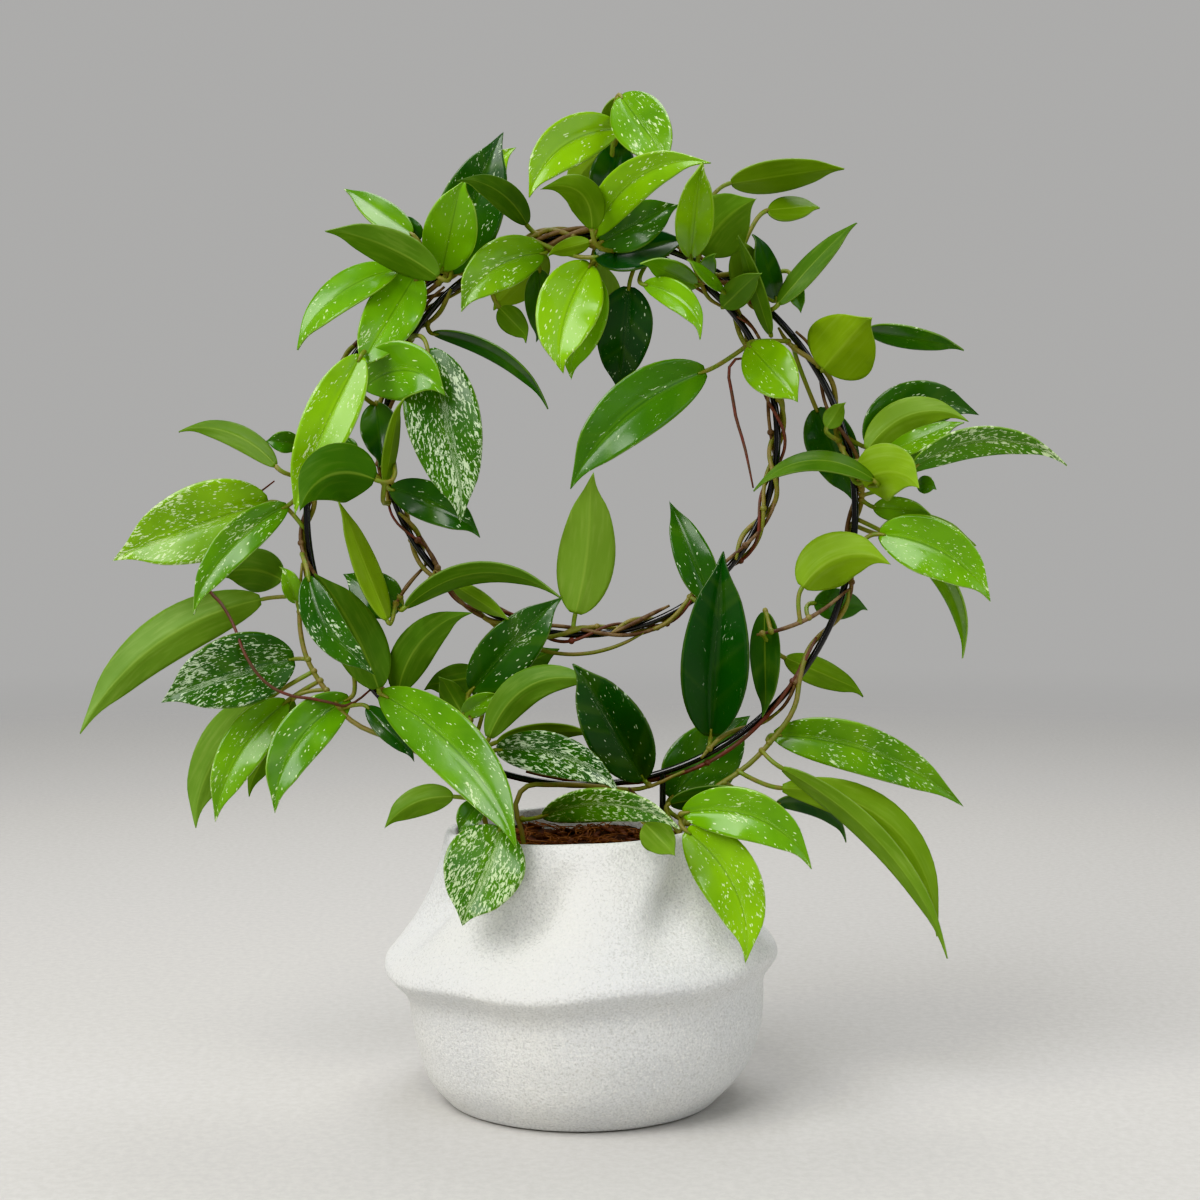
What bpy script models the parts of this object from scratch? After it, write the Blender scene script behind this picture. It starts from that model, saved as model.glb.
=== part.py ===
"""A hoya trained on a double wire ring, in a folded ceramic pot.

The pot stands on the origin, +Z is up and the front looks along -Y. Sizes are in millimetres until
they reach a mesh, which is in metres.

Leaves and loose stems are placed as the plant is seen from the front: (across, up) is a point of the
upright plane through the hoops, as it looks from the eye, and near is how far it stands out of that
plane towards the eye.
"""

import math
import random
from dataclasses import dataclass, replace

import bmesh
import bpy
from mathutils import Matrix, Vector
from mathutils.geometry import interpolate_bezier

MM = 0.001

# The eye that the plant is seen from
EYE_ACROSS = 9.5
EYE_UP = 300.0
EYE_AWAY = 1050.0

# The trellis: a hoop with a smaller ring inside it, on two legs
WIRE_RADIUS = 2.0
HOOP_RADIUS = 137.0
HOOP_UP = 294.0
RING_RADIUS = 98.0
RING_UP = 330.5
LEG_ACROSS = 41.0
LEG_FOOT_UP = 16.0
LEG_TOP_UP = HOOP_UP - math.sqrt(HOOP_RADIUS**2 - LEG_ACROSS**2) + 0.5
LEG_RADIUS = 1.9
HOOP_STEPS = 48
RING_STEPS = 36
WIRE_SIDES = 6

# The pot: (height, radius) of its outer and inner levels, before the folds
POT_OUTER = [
    (0, 64), (4, 71), (16, 81), (34, 87), (50, 90), (60, 93), (68, 98.5),
    (77, 92), (92, 82), (108, 75), (122, 70.5), (136, 68),
]
POT_INNER = [(134.5, 63), (120, 64.5), (98, 70), (72, 80), (40, 78), (18, 70), (8, 58)]
POT_LIP = [(137.4, 66.2), (136.8, 64)]
RIM_UP = 136.0
RIM_TILT_HEIGHT = 2.0
POT_TURN_STEPS = 32
POT_RIDGE_UP = 68.0
RIDGE_WAVES = 7
RIDGE_WAVE_HEIGHT = 1.6
RIDGE_TILT_HEIGHT = 5.5
BODY_SHIFT = 3.5
PLEAT_DEPTH = 2.2
PLEAT_START = math.radians(-52)

# The potting mix fills the pot to just under its rim
MIX_TOP_UP = 126.0
MIX_GAP = 0.35
MIX_BUMP = 2.5

# Stems and leaves
STEM_RADIUS = 1.3
TENDRIL_RADIUS = 0.8
TWINE_RADIUS = 3.8
TWINE_STEP = 8.5
TURN_STEPS = 8
BOTH_SPREAD = 0.06
HOLE_CLEARANCE = 0.45
PETIOLE_RADIUS = 0.95
PETIOLE_STEPS = 2
PETIOLE_SINK = 0.5
BLADE_STATIONS = (0.08, 0.3, 0.58, 0.83, 0.995)
SMALL_BLADE_STATIONS = (0.1, 0.4, 0.75, 0.99)
SMALL_BLADE = 78.0
NARROW_BLADE = 18.5
SHORT_PETIOLE = 20.0
MIDRIB_THICK = 1.6
EDGE_THICK = 0.8
WIDEST_AT = 0.39

# How leaves and petioles keep clear of each other, the wires and the pot
BLADE_CLEAR = 4.0
WIRE_CLEAR = 7.0
WIRE_BAND = 5.5
POT_CLEAR = 4.5
POT_FORWARD = 120
PETIOLE_CLEAR = 3.5
ROOT_APART = 3.0

# The leaves at the back: the other leaf of some pairs
BACK_SHARE = 0.25
BACK_LOWEST = 180.0
BACK_SEED = 8
BACK_WIDE = 22.0
BACK_TURN = (10, 30)
BACK_LEAN = (35, 60)
BACK_NEAR = -10.0
BACK_LENGTH = 0.75
BACK_WIDTH = 0.85

# The vines that rise from the potting mix
ROOTED = ("vine_lower_right", "vine_bottom", "vine_bottom_left", "vine_lower_left")
ROOT_DEEP = 16.0
ROOT_PROUD = 3.0


@dataclass
class Leaf:
    """A leaf as it is seen from the front, in millimetres."""

    base: tuple  # across and up
    tip: tuple
    wide: float
    layer: int  # above 0 in front of the wires and the higher the nearer, below 0 behind them
    lean: float = 0.0  # how much nearer the tip is than the base
    bend: float = 0.0  # how far the midrib bows to its left
    edge: float = 0.0  # how much nearer the left edge is, for each mm across
    fold: float = 0.18  # how much the edges rise to the upper side, for each mm across
    arch: float = 5.0  # how far the middle rises to the upper side
    under: bool = False  # the underside is what is seen
    near: float = 0.0

    def half_width(self, t):
        t = min(max(t, 0.0), 1.0)
        return self.wide / 2 * (t / WIDEST_AT) ** 0.6 * ((1 - t) / (1 - WIDEST_AT)) ** 0.95

    def place(self, t, s):
        """Where the blade is seen, t along its midrib and s across it, -1 to 1 with 1 at the left."""
        run = (self.tip[0] - self.base[0], self.tip[1] - self.base[1])
        length = math.hypot(*run)
        bow = self.bend * 4 * t * (1 - t) / length
        slope = self.bend * 4 * (1 - 2 * t) / length
        left = (-run[1] - slope * run[0], run[0] - slope * run[1])
        out = s * self.half_width(t) / math.hypot(*left)
        across = self.base[0] + run[0] * t - run[1] * bow + left[0] * out
        up = self.base[1] + run[1] * t + run[0] * bow + left[1] * out
        return across, up

    def depth(self, t, s):
        """How near the eye the blade is there."""
        side = -1 if self.under else 1
        half = self.half_width(t)
        rise = self.arch * 4 * t * (1 - t) + half * self.fold * abs(s)
        return self.near + self.lean * t + half * self.edge * s + side * rise

    def find(self, across, up):
        """The (t, s) of the blade seen at a point, or None where it isn't seen."""
        run = (self.tip[0] - self.base[0], self.tip[1] - self.base[1])
        length = math.hypot(*run)
        off = (across - self.base[0], up - self.base[1])
        t = (off[0] * run[0] + off[1] * run[1]) / length**2
        if not 0.0 < t < 1.0:
            return None
        beside = (off[1] * run[0] - off[0] * run[1]) / length - self.bend * 4 * t * (1 - t)
        half = self.half_width(t) + 1.0
        return (t, beside / half) if abs(beside) < half else None

    def point(self, t, s):
        across, up = self.place(t, s)
        return seen(across, up, self.depth(t, s))

    def normal(self, t, s):
        """The way the seen side of the blade faces."""
        step = 0.02
        low, high = max(t - step, 0.01), min(t + step, 0.99)
        along = self.point(high, s) - self.point(low, s)
        over = self.point(min(max(t, 0.03), 0.97), s + 0.1) - self.point(min(max(t, 0.03), 0.97), s - 0.1)
        return along.cross(over).normalized()


def seen(across, up, near=0.0):
    """The point, in millimetres, that is seen at (across, up) and stands near out of the hoops' plane."""
    scale = (EYE_AWAY - near) / EYE_AWAY
    return Vector((EYE_ACROSS + (across - EYE_ACROSS) * scale, -near, EYE_UP + (up - EYE_UP) * scale))


def level_radius(levels, up):
    """The radius at a height, on straight lines between a list of (height, radius) levels."""
    for (low, first), (high, second) in zip(levels, levels[1:]):
        if low <= up <= high:
            return first + (second - first) * (up - low) / (high - low)
    return 0.0


# The leaves, spray by spray

TOP = [
    Leaf((19.5, 483.5), (-26, 450), 24, 2, lean=30, bend=-10),
    Leaf((19.5, 500), (44.5, 466), 28, 2, lean=45, near=-30),
    Leaf((6.5, 430.5), (63.5, 468.5), 21, 3, lean=15, bend=12),
    Leaf((9.5, 427.5), (48.5, 447.5), 23, 2, lean=10),
    Leaf((13, 448.5), (20.5, 480.5), 23, 1, lean=-15, near=-5),
    Leaf((5.5, 434), (-19, 455), 17.5, 3, lean=25, bend=-10, under=True),
    Leaf((-27, 436.5), (-60.5, 459.5), 14, 5, lean=10, bend=-5.5, edge=0.8, under=True),
    Leaf((-17.5, 422.5), (-60, 394), 25, 3, lean=20, bend=-8),
    Leaf((5.5, 417.5), (-11, 363.5), 32, 4, lean=20, bend=-5),
    Leaf((6, 413), (-7, 360.5), 25, 2, lean=-10),
    Leaf((-20.5, 414.5), (-20.5, 378.5), 15, -1, lean=-30),
    Leaf((-40.5, 395.5), (-25.5, 380), 13, 2, lean=15, under=True),
    Leaf((4.5, 428), (-17, 422.5), 9, 5, lean=12, under=True),
    Leaf((24, 406.5), (18, 353.5), 28, 1, lean=-20),
    Leaf((31, 407), (61, 381.5), 14, 4, lean=20, bend=6.5),
    Leaf((6.5, 420.5), (53, 429.5), 20, 1, edge=-0.8),
]

TOP_LEFT = [
    Leaf((-67, 412), (-39.5, 482.5), 33, 2, lean=10),
    Leaf((-68, 438), (-34, 476), 22.5, 1, lean=-20),
    Leaf((-69, 413.5), (-59, 459.5), 27, 4, lean=35),
    Leaf((-83.5, 431.5), (-117, 454.5), 14, 2, lean=-20, edge=1.2),
    Leaf((-70.5, 410.5), (-126.5, 434.5), 19, 5, lean=15, bend=-4, edge=-0.8, under=True),
    Leaf((-90.5, 414.5), (-142, 375.5), 17.5, 4, lean=15, bend=-8, edge=1.0),
    Leaf((-81, 413.5), (-111.5, 364), 27.5, 3, lean=20),
    Leaf((-109, 372.5), (-145, 293.5), 26, 3, lean=5, bend=-2),
    Leaf((-80.5, 428.5), (-88.5, 441.5), 10, 1, lean=-8),
]

TOP_RIGHT = [
    Leaf((58, 406.5), (30.5, 419.5), 13, 2, lean=12, edge=-1.0),
    Leaf((54.5, 420), (59.5, 467.5), 19, 4, lean=25, fold=0.7),
    Leaf((59, 422), (86.5, 449.5), 31, 3, lean=40, bend=3, fold=0.5, under=True),
    Leaf((74, 457), (130.5, 465.5), 16, 1, lean=-10, edge=1.2, under=True),
    Leaf((92.5, 443.5), (118.5, 445.5), 12, 1, lean=-15, edge=-1.5, under=True),
    Leaf((98, 397), (136.5, 438), 11, 4, lean=10, bend=1, edge=-1.2, under=True),
    Leaf((70.5, 396), (89, 413.5), 14, 4, lean=20, under=True),
    Leaf((70.5, 403.5), (53.5, 420), 6, 5, lean=15, edge=1.2),
    Leaf((97, 399.5), (87.5, 432.5), 12, 2, edge=1.2),
    Leaf((83.5, 403.5), (79.5, 430.5), 17, 1, lean=-20, under=True),
    Leaf((94.5, 382), (78.5, 431.5), 8, 3, edge=-1.6, under=True),
    Leaf((104, 412.5), (110, 393), 9, 2, lean=10),
    Leaf((60.5, 408.5), (65.5, 423), 9, 4, lean=8),
]

RIGHT = [
    Leaf((120.5, 365), (143.5, 391.5), 37, 3, lean=40, fold=0.4, under=True),
    Leaf((142, 384.5), (191, 376), 11, 2, lean=5, edge=1.5),
    Leaf((143.5, 326), (198, 343.5), 28, 1, lean=-20, bend=12),
    Leaf((142.5, 324.5), (192.5, 341.5), 18, 2, lean=10, bend=10, under=True),
    Leaf((152, 322.5), (190.5, 340), 11, 3, lean=15, edge=-1.0),
    Leaf((165, 315.5), (242.5, 319.5), 15, 3, lean=10, bend=12, edge=0.8),
    Leaf((140, 308.5), (169, 307.5), 29, 4, lean=40, bend=6, under=True),
    Leaf((168, 308.5), (177.5, 306.5), 9, 2, lean=8),
    Leaf((146.5, 309.5), (86, 305.5), 10, 6, lean=10, bend=-12, edge=1.5, under=True),
    Leaf((146, 296.5), (175, 294), 12, 3, lean=20, edge=0.8),
    Leaf((148.5, 283), (206, 251), 29, 4, lean=20, bend=7.5),
    Leaf((163, 277), (192, 221), 9, 1, lean=-10, bend=9, edge=1.5),
    Leaf((117, 346), (137, 299.5), 25, -1, lean=-15),
    Leaf((122.5, 336), (131, 349), 10, 2, lean=8, under=True),
    Leaf((83.5, 377), (109, 349.5), 26, 3, lean=30),
]

LOWER_RIGHT = [
    Leaf((110.5, 256), (154, 270), 27, 5, lean=25, bend=9, fold=0.45, under=True),
    Leaf((116.5, 248.5), (143.5, 247), 16, -1, lean=-20),
    Leaf((92, 244.5), (93, 191), 15, 1, edge=0.9, under=True),
    Leaf((102, 221), (142.5, 203.5), 14, -1, lean=-15, edge=-0.9, under=True),
    Leaf((44.5, 149.5), (83.5, 193), 35, -1, lean=-25),
    Leaf((44.5, 147.5), (83.5, 155), 11, 1, lean=10, edge=1.0, under=True),
    Leaf((50.5, 142.5), (117, 116.5), 26, 4, lean=20, bend=11.5, near=20),
    Leaf((52, 134.5), (84, 67), 31, 3, lean=20, bend=10, near=55, fold=0.08, arch=3),
    Leaf((95.5, 182), (192.5, 146.5), 25, 4, lean=10, bend=9),
    Leaf((100, 166), (186.5, 70), 12, 5, lean=25, bend=12, edge=1.0, under=True),
    Leaf((99.5, 155.5), (180.5, 81), 20, 3, lean=5, bend=24, under=True),
    Leaf((98, 147.5), (134.5, 130), 9, 1, lean=-15, bend=7, edge=1.2),
]

BOTTOM = [
    Leaf((32, 159), (-2.5, 219), 32, 4, lean=15, fold=0.5),
    Leaf((-20, 141), (50, 136.5), 17, 4, lean=15, bend=8, edge=1.0, near=25),
    Leaf((32, 137.5), (47.5, 121.5), 17, 3, lean=15, near=48, under=True),
]

BOTTOM_LEFT = [
    Leaf((-55.5, 204), (-10.5, 252.5), 27, 2, lean=15),
    Leaf((-46.5, 180), (10.5, 208), 18, 3, lean=20, bend=15, under=True),
    Leaf((-43, 174.5), (20, 155), 22, 5, lean=20, bend=6.5, fold=0.1),
    Leaf((-42.5, 178.5), (7, 183), 9, 2, lean=15, bend=3, edge=1.0, under=True),
    Leaf((-59.5, 192.5), (-70.5, 212), 13, 2, lean=10, under=True),
    Leaf((-59.5, 192.5), (-41.5, 203.5), 11, 2, lean=15),
    Leaf((-50, 212), (-79, 207), 16, -1, lean=-12, under=True),
]

BOTTOM_RIGHT = [
    Leaf((65, 180.5), (70.5, 274.5), 34, 4, lean=25, fold=0.6),
]

LOWER_LEFT = [
    Leaf((-149.5, 260), (-181, 262.5), 22, 1, lean=-20, bend=-4, under=True),
    Leaf((-142, 248.5), (-148.5, 267.5), 10, 2, lean=5),
    Leaf((-159, 250.5), (-252, 183), 25, 3, lean=10, bend=-13, under=True),
    Leaf((-143, 220.5), (-211, 199.5), 37, 4, lean=30, bend=-3),
    Leaf((-156, 201), (-195.5, 136), 24, 1, lean=-10, bend=-8, under=True),
    Leaf((-147, 199.5), (-184.5, 138.5), 23, 3, lean=20, bend=-7),
    Leaf((-144.5, 200), (-169, 152), 15, -1, lean=-10, under=True),
    Leaf((-115.5, 201), (-154.5, 143), 25, 4, lean=30, bend=-10),
    Leaf((-136.5, 262.5), (-101.5, 214), 19, 5, lean=10, bend=-8),
    Leaf((-101.5, 205), (-132.5, 264), 26, 4, lean=10, bend=-3, under=True),
    Leaf((-92, 203), (-56, 245), 20, 3, lean=25, bend=8, under=True),
    Leaf((-101.5, 203.5), (-32, 124.5), 31, 6, lean=25, bend=10, fold=0.1),
    Leaf((-107.5, 196.5), (-82.5, 170), 12, 2, lean=10),
    Leaf((-40.5, 136), (-61, 86), 41, 4, lean=20, near=66, fold=0.08, arch=3),
    Leaf((-51.5, 148.5), (-62, 133), 13, 3, lean=10, near=40),
    Leaf((-64, 151), (-99, 135.5), 15, 3, lean=10, bend=-5, near=30, under=True),
]

LEFT = [
    Leaf((-152, 316.5), (-200, 335.5), 12, 2, lean=-10, bend=-7, edge=0.8, under=True),
    Leaf((-140.5, 328.5), (-157.5, 329.5), 11, 1, lean=10),
    Leaf((-155, 299), (-234.5, 270.5), 39, 2, lean=10, bend=-2),
    Leaf((-146, 297.5), (-195.5, 243.5), 19, 4, lean=25, bend=-7),
]

RING_TOP_LEFT = [
    Leaf((-74.5, 383), (-15.5, 346.5), 8, 5, lean=20, bend=8, edge=1.2),
]

RING_LEFT = [
    Leaf((-108.5, 355.5), (-67.5, 353.5), 30, 2, lean=30, bend=10),
    Leaf((-76.5, 376), (-57.5, 289), 37.5, 3, lean=10, fold=0.1),
    Leaf((-95.5, 305.5), (-49.5, 283), 20, 2, lean=25, bend=3),
    Leaf((-102, 348.5), (-98.5, 316.5), 19, 1, lean=25),
    Leaf((-98, 308.5), (-90.5, 351), 7, 4, lean=15, edge=1.5, under=True),
    Leaf((-102.5, 310), (-141, 296), 30, 3, lean=30, bend=-10, under=True),
    Leaf((-111.5, 321), (-128, 328.5), 15, -1, lean=-20),
]

RING_LOWER_LEFT = [
    Leaf((-97, 239.5), (-120.5, 299.5), 12.5, 2, edge=1.2, under=True),
    Leaf((-90.5, 245), (-118.5, 263.5), 22.5, 1, lean=-10),
]

RING_BOTTOM_LEFT = [
    Leaf((-88.5, 246), (-10, 252), 11, 4, lean=20, bend=15, edge=1.5, under=True),
    Leaf((-64.5, 258.5), (-36, 240.5), 9, 2, lean=8, edge=1.0, under=True),
]

RING_BOTTOM = [
    Leaf((-3, 242.5), (4, 314), 28.5, 3, lean=20, bend=-3, under=True),
]

RING_LOWER_RIGHT = [
    Leaf((65.5, 248.5), (44.5, 299.5), 19, 2, lean=-15),
]

RING_UPPER_RIGHT = [
    Leaf((63, 364.5), (-6, 306), 31, 3, lean=20, bend=-9),
]


# The stems

def hoop_point(angle, out=0.0, near=0.0):
    """The point of the hoop at an angle in degrees, out from its middle and near the eye by so much."""
    turn = math.radians(angle)
    radius = HOOP_RADIUS + out
    return Vector((radius * math.cos(turn), -near, HOOP_UP + radius * math.sin(turn)))


def ring_point(angle, out=0.0, near=0.0):
    turn = math.radians(angle)
    radius = RING_RADIUS + out
    return Vector((radius * math.cos(turn), -near, RING_UP + radius * math.sin(turn)))


def both_point(angle, out=0.0, near=0.0):
    """The same round the hoop and the ring together, where they lie side by side at the top."""
    outer = hoop_point(angle)
    down = (RING_UP - HOOP_UP) * math.sin(math.radians(angle))
    side = (RING_UP - HOOP_UP) * math.cos(math.radians(angle))
    gap = HOOP_RADIUS - down - math.sqrt(RING_RADIUS**2 - side**2)
    reach = out * (1 + gap / 2 / TWINE_RADIUS)
    away = (outer - Vector((0, 0, HOOP_UP))).normalized()
    return outer + away * (reach - gap / 2) - Vector((0, near * (1 + BOTH_SPREAD * gap), 0))


def twine(along, start, end, turns, phase=0.0):
    """A stem that winds round a wire from one angle to another, for so many turns."""
    length = abs(math.radians(end - start)) * (along(start) - along(start + 180)).length / 2
    steps = max(round(length / TWINE_STEP), round(TURN_STEPS * abs(turns)))
    points = []
    for i in range(steps + 1):
        wind = math.tau * (phase + turns * i / steps)
        angle = start + (end - start) * i / steps
        points.append(along(angle, TWINE_RADIUS * math.cos(wind), TWINE_RADIUS * math.sin(wind)))
    return points


def rooted(across, depth, *route):
    """A stem that comes straight up out of the potting mix and then follows points as they are seen."""
    start = [Vector((across, depth, up)) for up in (MIX_TOP_UP - ROOT_DEEP, MIX_TOP_UP + ROOT_PROUD)]
    return start + [seen(*point) for point in route]


def loose(*route):
    return [seen(*point) for point in route]


def grown(stem, share, *route):
    """A shoot that leaves another stem at a share of its length."""
    return [stem[round(share * (len(stem) - 1))]] + [seen(*point) for point in route]


def top_stems():
    strand = twine(both_point, 71, 112, 1.3, 0.25)
    shoot = grown(strand, 0.385, (7, 436, -7), (11, 448, -11), (16, 470, -15), (15.5, 490, -20))
    return [strand, shoot]


def top_left_stems():
    strand = twine(hoop_point, 114, 150, 2.0, 0.25)
    second = twine(hoop_point, 114, 150, 0.8, 0.25)
    shoot = grown(strand, 0.47, (-86, 404, 7), (-79, 413, 8), (-75, 424, 9))
    return [strand, second, shoot]


def top_right_stems():
    return [twine(hoop_point, 47, 68, 1.75, 0.25), twine(hoop_point, 47, 68, 0.75, 0.25)]


def right_stems():
    return [twine(hoop_point, -14, 43, 2.4, 0.25)]


def lower_right_stems():
    vine = rooted(47, -14, (59.5, 148.5, 12), (84.5, 167.5, 9), (97, 181, 8), (107, 196, 7))
    low_shoot = [vine[2]] + loose((54, 146, 30), (51, 141, 48))
    vine += twine(hoop_point, -37, -16, 0.9, 0.25)
    shoot = grown(vine, 1.0, (117, 242.5, 8), (102.5, 236, 8), (88, 232.5, 6))
    return [vine, shoot, low_shoot]


def bottom_stems():
    vine = rooted(-28, -18, (-30.5, 153.5, 14), (-13, 157, 9), (10, 156, 8), (29.5, 155, 8), (52, 164, 7))
    low_shoot = loose((24, 155.3, 8), (29, 149.5, 26), (31, 143, 42))
    return [vine, low_shoot]


def bottom_left_stems():
    vine = rooted(-37, -12, (-38, 158, 10)) + twine(hoop_point, 252, 236, 0.8, 0.25)
    shoot = grown(vine, 0.56, (-54, 180, 9), (-56, 192, 9))
    return [vine, shoot]


def bottom_right_stems():
    return [twine(hoop_point, 296, 315, 0.8, 0.25)]


def lower_left_stems():
    vine = rooted(
        -46, -8, (-52, 148, 12), (-62, 160, 10), (-76, 170, 9), (-94.5, 179.5, 8), (-115.5, 189.5, 6),
        (-125.5, 201.5, 4), (-136, 217.5, 2), (-140, 230.5, 0), (-141, 247.5, 0), (-139.5, 268.5, 2),
    )
    strand = [vine[5]] + loose((-88, 184, 8)) + twine(hoop_point, 229, 188, 1.8, 0.25)
    low_shoot = [vine[2]] + loose((-47, 150, 34), (-41, 144, 58))
    return [vine, strand, low_shoot]


def left_tendril(strand):
    return grown(
        strand, 0.3, (-118, 197, -9), (-134, 199, -10), (-150.5, 204.5, -11), (-161.5, 212.5, -12),
        (-173, 228.5, -12), (-186.5, 257.5, -12), (-184, 280, -10), (-170, 296, -8), (-153, 309.5, -7),
    )


def left_stems():
    return [twine(hoop_point, 153, 184, 1.6, 0.25)]


def ring_lower_left_stems():
    strand = twine(ring_point, 202, 219, 0.6, 0.25)
    shoot = grown(strand, 1.0, (-87, 257, 3), (-94, 246, 2))
    return [strand, shoot]


def ring_bottom_left_stems():
    strand = twine(ring_point, 222, 261, 1.4, 0.25)
    second = twine(ring_point, 222, 261, 0.5, 0.25)
    shoot = grown(strand, 0.0, (-77, 256, 8), (-84, 249, 7))
    return [strand, second, shoot]


def ring_stems(start, end, *turns):
    """The strands of one stretch of the ring, each with its own number of turns."""
    return [twine(ring_point, start, end, turn, 0.25) for turn in turns]


def right_tendril(strand):
    return grown(strand, 1.0, (77, 370, 8), (76, 348.5, 9), (82, 325, 8), (86, 306, 7))


@dataclass
class Spray:
    """A leafy stretch of vine: its leaves, its stems and its thin tendrils."""

    name: str
    leaves: list
    stems: list
    tendrils: list


def partners(leaves, rng):
    """Leaves at the back: the other leaf of some pairs, which leans away behind its partner."""
    found = []
    for leaf in leaves:
        if min(leaf.base[1], leaf.tip[1]) < BACK_LOWEST or leaf.wide < BACK_WIDE or leaf.layer < 1:
            continue
        if rng.random() > BACK_SHARE:
            continue
        turn = math.radians(rng.choice((-1, 1)) * rng.uniform(*BACK_TURN))
        run = Vector((leaf.tip[0] - leaf.base[0], leaf.tip[1] - leaf.base[1])) * BACK_LENGTH
        run.rotate(Matrix.Rotation(turn, 2))
        tip = (leaf.base[0] + run.x, leaf.base[1] + run.y)
        lean = -rng.uniform(*BACK_LEAN)
        found.append(replace(leaf, tip=tip, wide=leaf.wide * BACK_WIDTH, layer=-2, lean=lean, bend=0,
                             edge=0, under=True, near=BACK_NEAR))
    return found


def make_sprays():
    lower_left = lower_left_stems()
    ring_right = ring_stems(-38, 19, 2.1)
    sprays = [
        Spray("vine_top", TOP, top_stems(), []),
        Spray("vine_top_left", TOP_LEFT, top_left_stems(), []),
        Spray("vine_top_right", TOP_RIGHT, top_right_stems(), []),
        Spray("vine_right", RIGHT, right_stems(), []),
        Spray("vine_lower_right", LOWER_RIGHT, lower_right_stems(), []),
        Spray("vine_bottom", BOTTOM, bottom_stems(), []),
        Spray("vine_bottom_right", BOTTOM_RIGHT, bottom_right_stems(), []),
        Spray("vine_bottom_left", BOTTOM_LEFT, bottom_left_stems(), []),
        Spray("vine_lower_left", LOWER_LEFT, lower_left, [left_tendril(lower_left[1])]),
        Spray("vine_left", LEFT, left_stems(), []),
        Spray("ring_vine_top_left", RING_TOP_LEFT, ring_stems(131, 146, 0.5), []),
        Spray("ring_vine_left", RING_LEFT, ring_stems(149, 199, 1.75), []),
        Spray("ring_vine_lower_left", RING_LOWER_LEFT, ring_lower_left_stems(), []),
        Spray("ring_vine_bottom_left", RING_BOTTOM_LEFT, ring_bottom_left_stems(), []),
        Spray("ring_vine_bottom", RING_BOTTOM, ring_stems(264, 276, 0.45), []),
        Spray("ring_vine_bottom_right", [], ring_stems(279, 298, 0.7, 0.3), []),
        Spray("ring_vine_lower_right", RING_LOWER_RIGHT, ring_stems(301, 319, 0.5), []),
        Spray("ring_vine_right", [], ring_right, [right_tendril(ring_right[0])]),
        Spray("ring_vine_upper_right", RING_UPPER_RIGHT, ring_stems(22, 42, 0.6), []),
    ]
    rng = random.Random(BACK_SEED)
    for spray in sprays:
        spray.leaves = spray.leaves + partners(spray.leaves, rng)
    settle([leaf for spray in sprays for leaf in spray.leaves])
    return sprays


# How the leaves lie on each other

def samples_of(leaf):
    found = []
    for t in (0.05, 0.2, 0.35, 0.5, 0.65, 0.8, 0.95):
        for s in (-1, -0.5, 0, 0.5, 1):
            found.append((*leaf.place(t, s), leaf.depth(t, s), t))
    return found


def box_of(samples):
    across = [sample[0] for sample in samples]
    up = [sample[1] for sample in samples]
    return min(across), max(across), min(up), max(up)


def boxes_meet(a, b):
    return a[0] < b[1] and b[0] < a[1] and a[2] < b[3] and b[2] < a[3]


def over_a_wire(across, up):
    for middle, radius in ((HOOP_UP, HOOP_RADIUS), (RING_UP, RING_RADIUS)):
        if abs(math.hypot(across, up - middle) - radius) < WIRE_BAND:
            return True
    return abs(abs(across) - LEG_ACROSS) < WIRE_BAND and up < LEG_TOP_UP


def pot_shortfall(across, up, depth):
    """How much nearer a point must come to be clear of the pot, to a millimetre."""
    for moved in range(POT_FORWARD):
        spot = seen(across, up, depth + moved)
        radius = level_radius(POT_OUTER, min(max(spot.z, 0.0), RIM_UP)) + POT_CLEAR
        if spot.z > RIM_UP + POT_CLEAR or math.hypot(spot.x, spot.y) > radius:
            return float(moved)
    return float(POT_FORWARD)


def worst_shortfall(leaf, placed, way):
    """The most that the leaf has to move to be clear of what lies behind it, and where along it."""
    samples = samples_of(leaf)
    box = box_of(samples)
    worst = (0.0, 0.0)
    for across, up, depth, t in samples:
        if over_a_wire(across, up):
            worst = max(worst, (WIRE_CLEAR - way * depth, t))
        if way > 0 and up < LEG_TOP_UP:
            worst = max(worst, (pot_shortfall(across, up, depth), t))
    for other, its_samples, its_box in placed:
        if other.layer * way < 0 or not boxes_meet(box, its_box):
            continue
        for across, up, depth, t in samples:
            spot = other.find(across, up)
            if spot:
                worst = max(worst, (BLADE_CLEAR - way * (depth - other.depth(*spot)), t))
        for across, up, depth, _ in its_samples:
            spot = leaf.find(across, up)
            if spot:
                worst = max(worst, (BLADE_CLEAR - way * (leaf.depth(*spot) - depth), spot[0]))
    return worst


def settle(leaves):
    """Lays the leaves on the wires, the pot and each other, from the wires outwards."""
    front = sorted((leaf for leaf in leaves if leaf.layer > 0), key=lambda leaf: leaf.layer)
    back = sorted((leaf for leaf in leaves if leaf.layer < 0), key=lambda leaf: -leaf.layer)
    placed = []
    for leaf in front + back:
        way = 1 if leaf.layer > 0 else -1
        for _ in range(40):
            short, t = worst_shortfall(leaf, placed, way)
            if short < 0.05:
                break
            if t < 0.5:
                leaf.near += way * short
            else:
                leaf.lean += way * short / t
        samples = samples_of(leaf)
        placed.append((leaf, samples, box_of(samples)))


# Meshes

def to_object(name, bm):
    mesh = bpy.data.meshes.new(name)
    bm.to_mesh(mesh)
    bm.free()
    obj = bpy.data.objects.new(name, mesh)
    bpy.context.scene.collection.objects.link(obj)
    return obj


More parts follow.
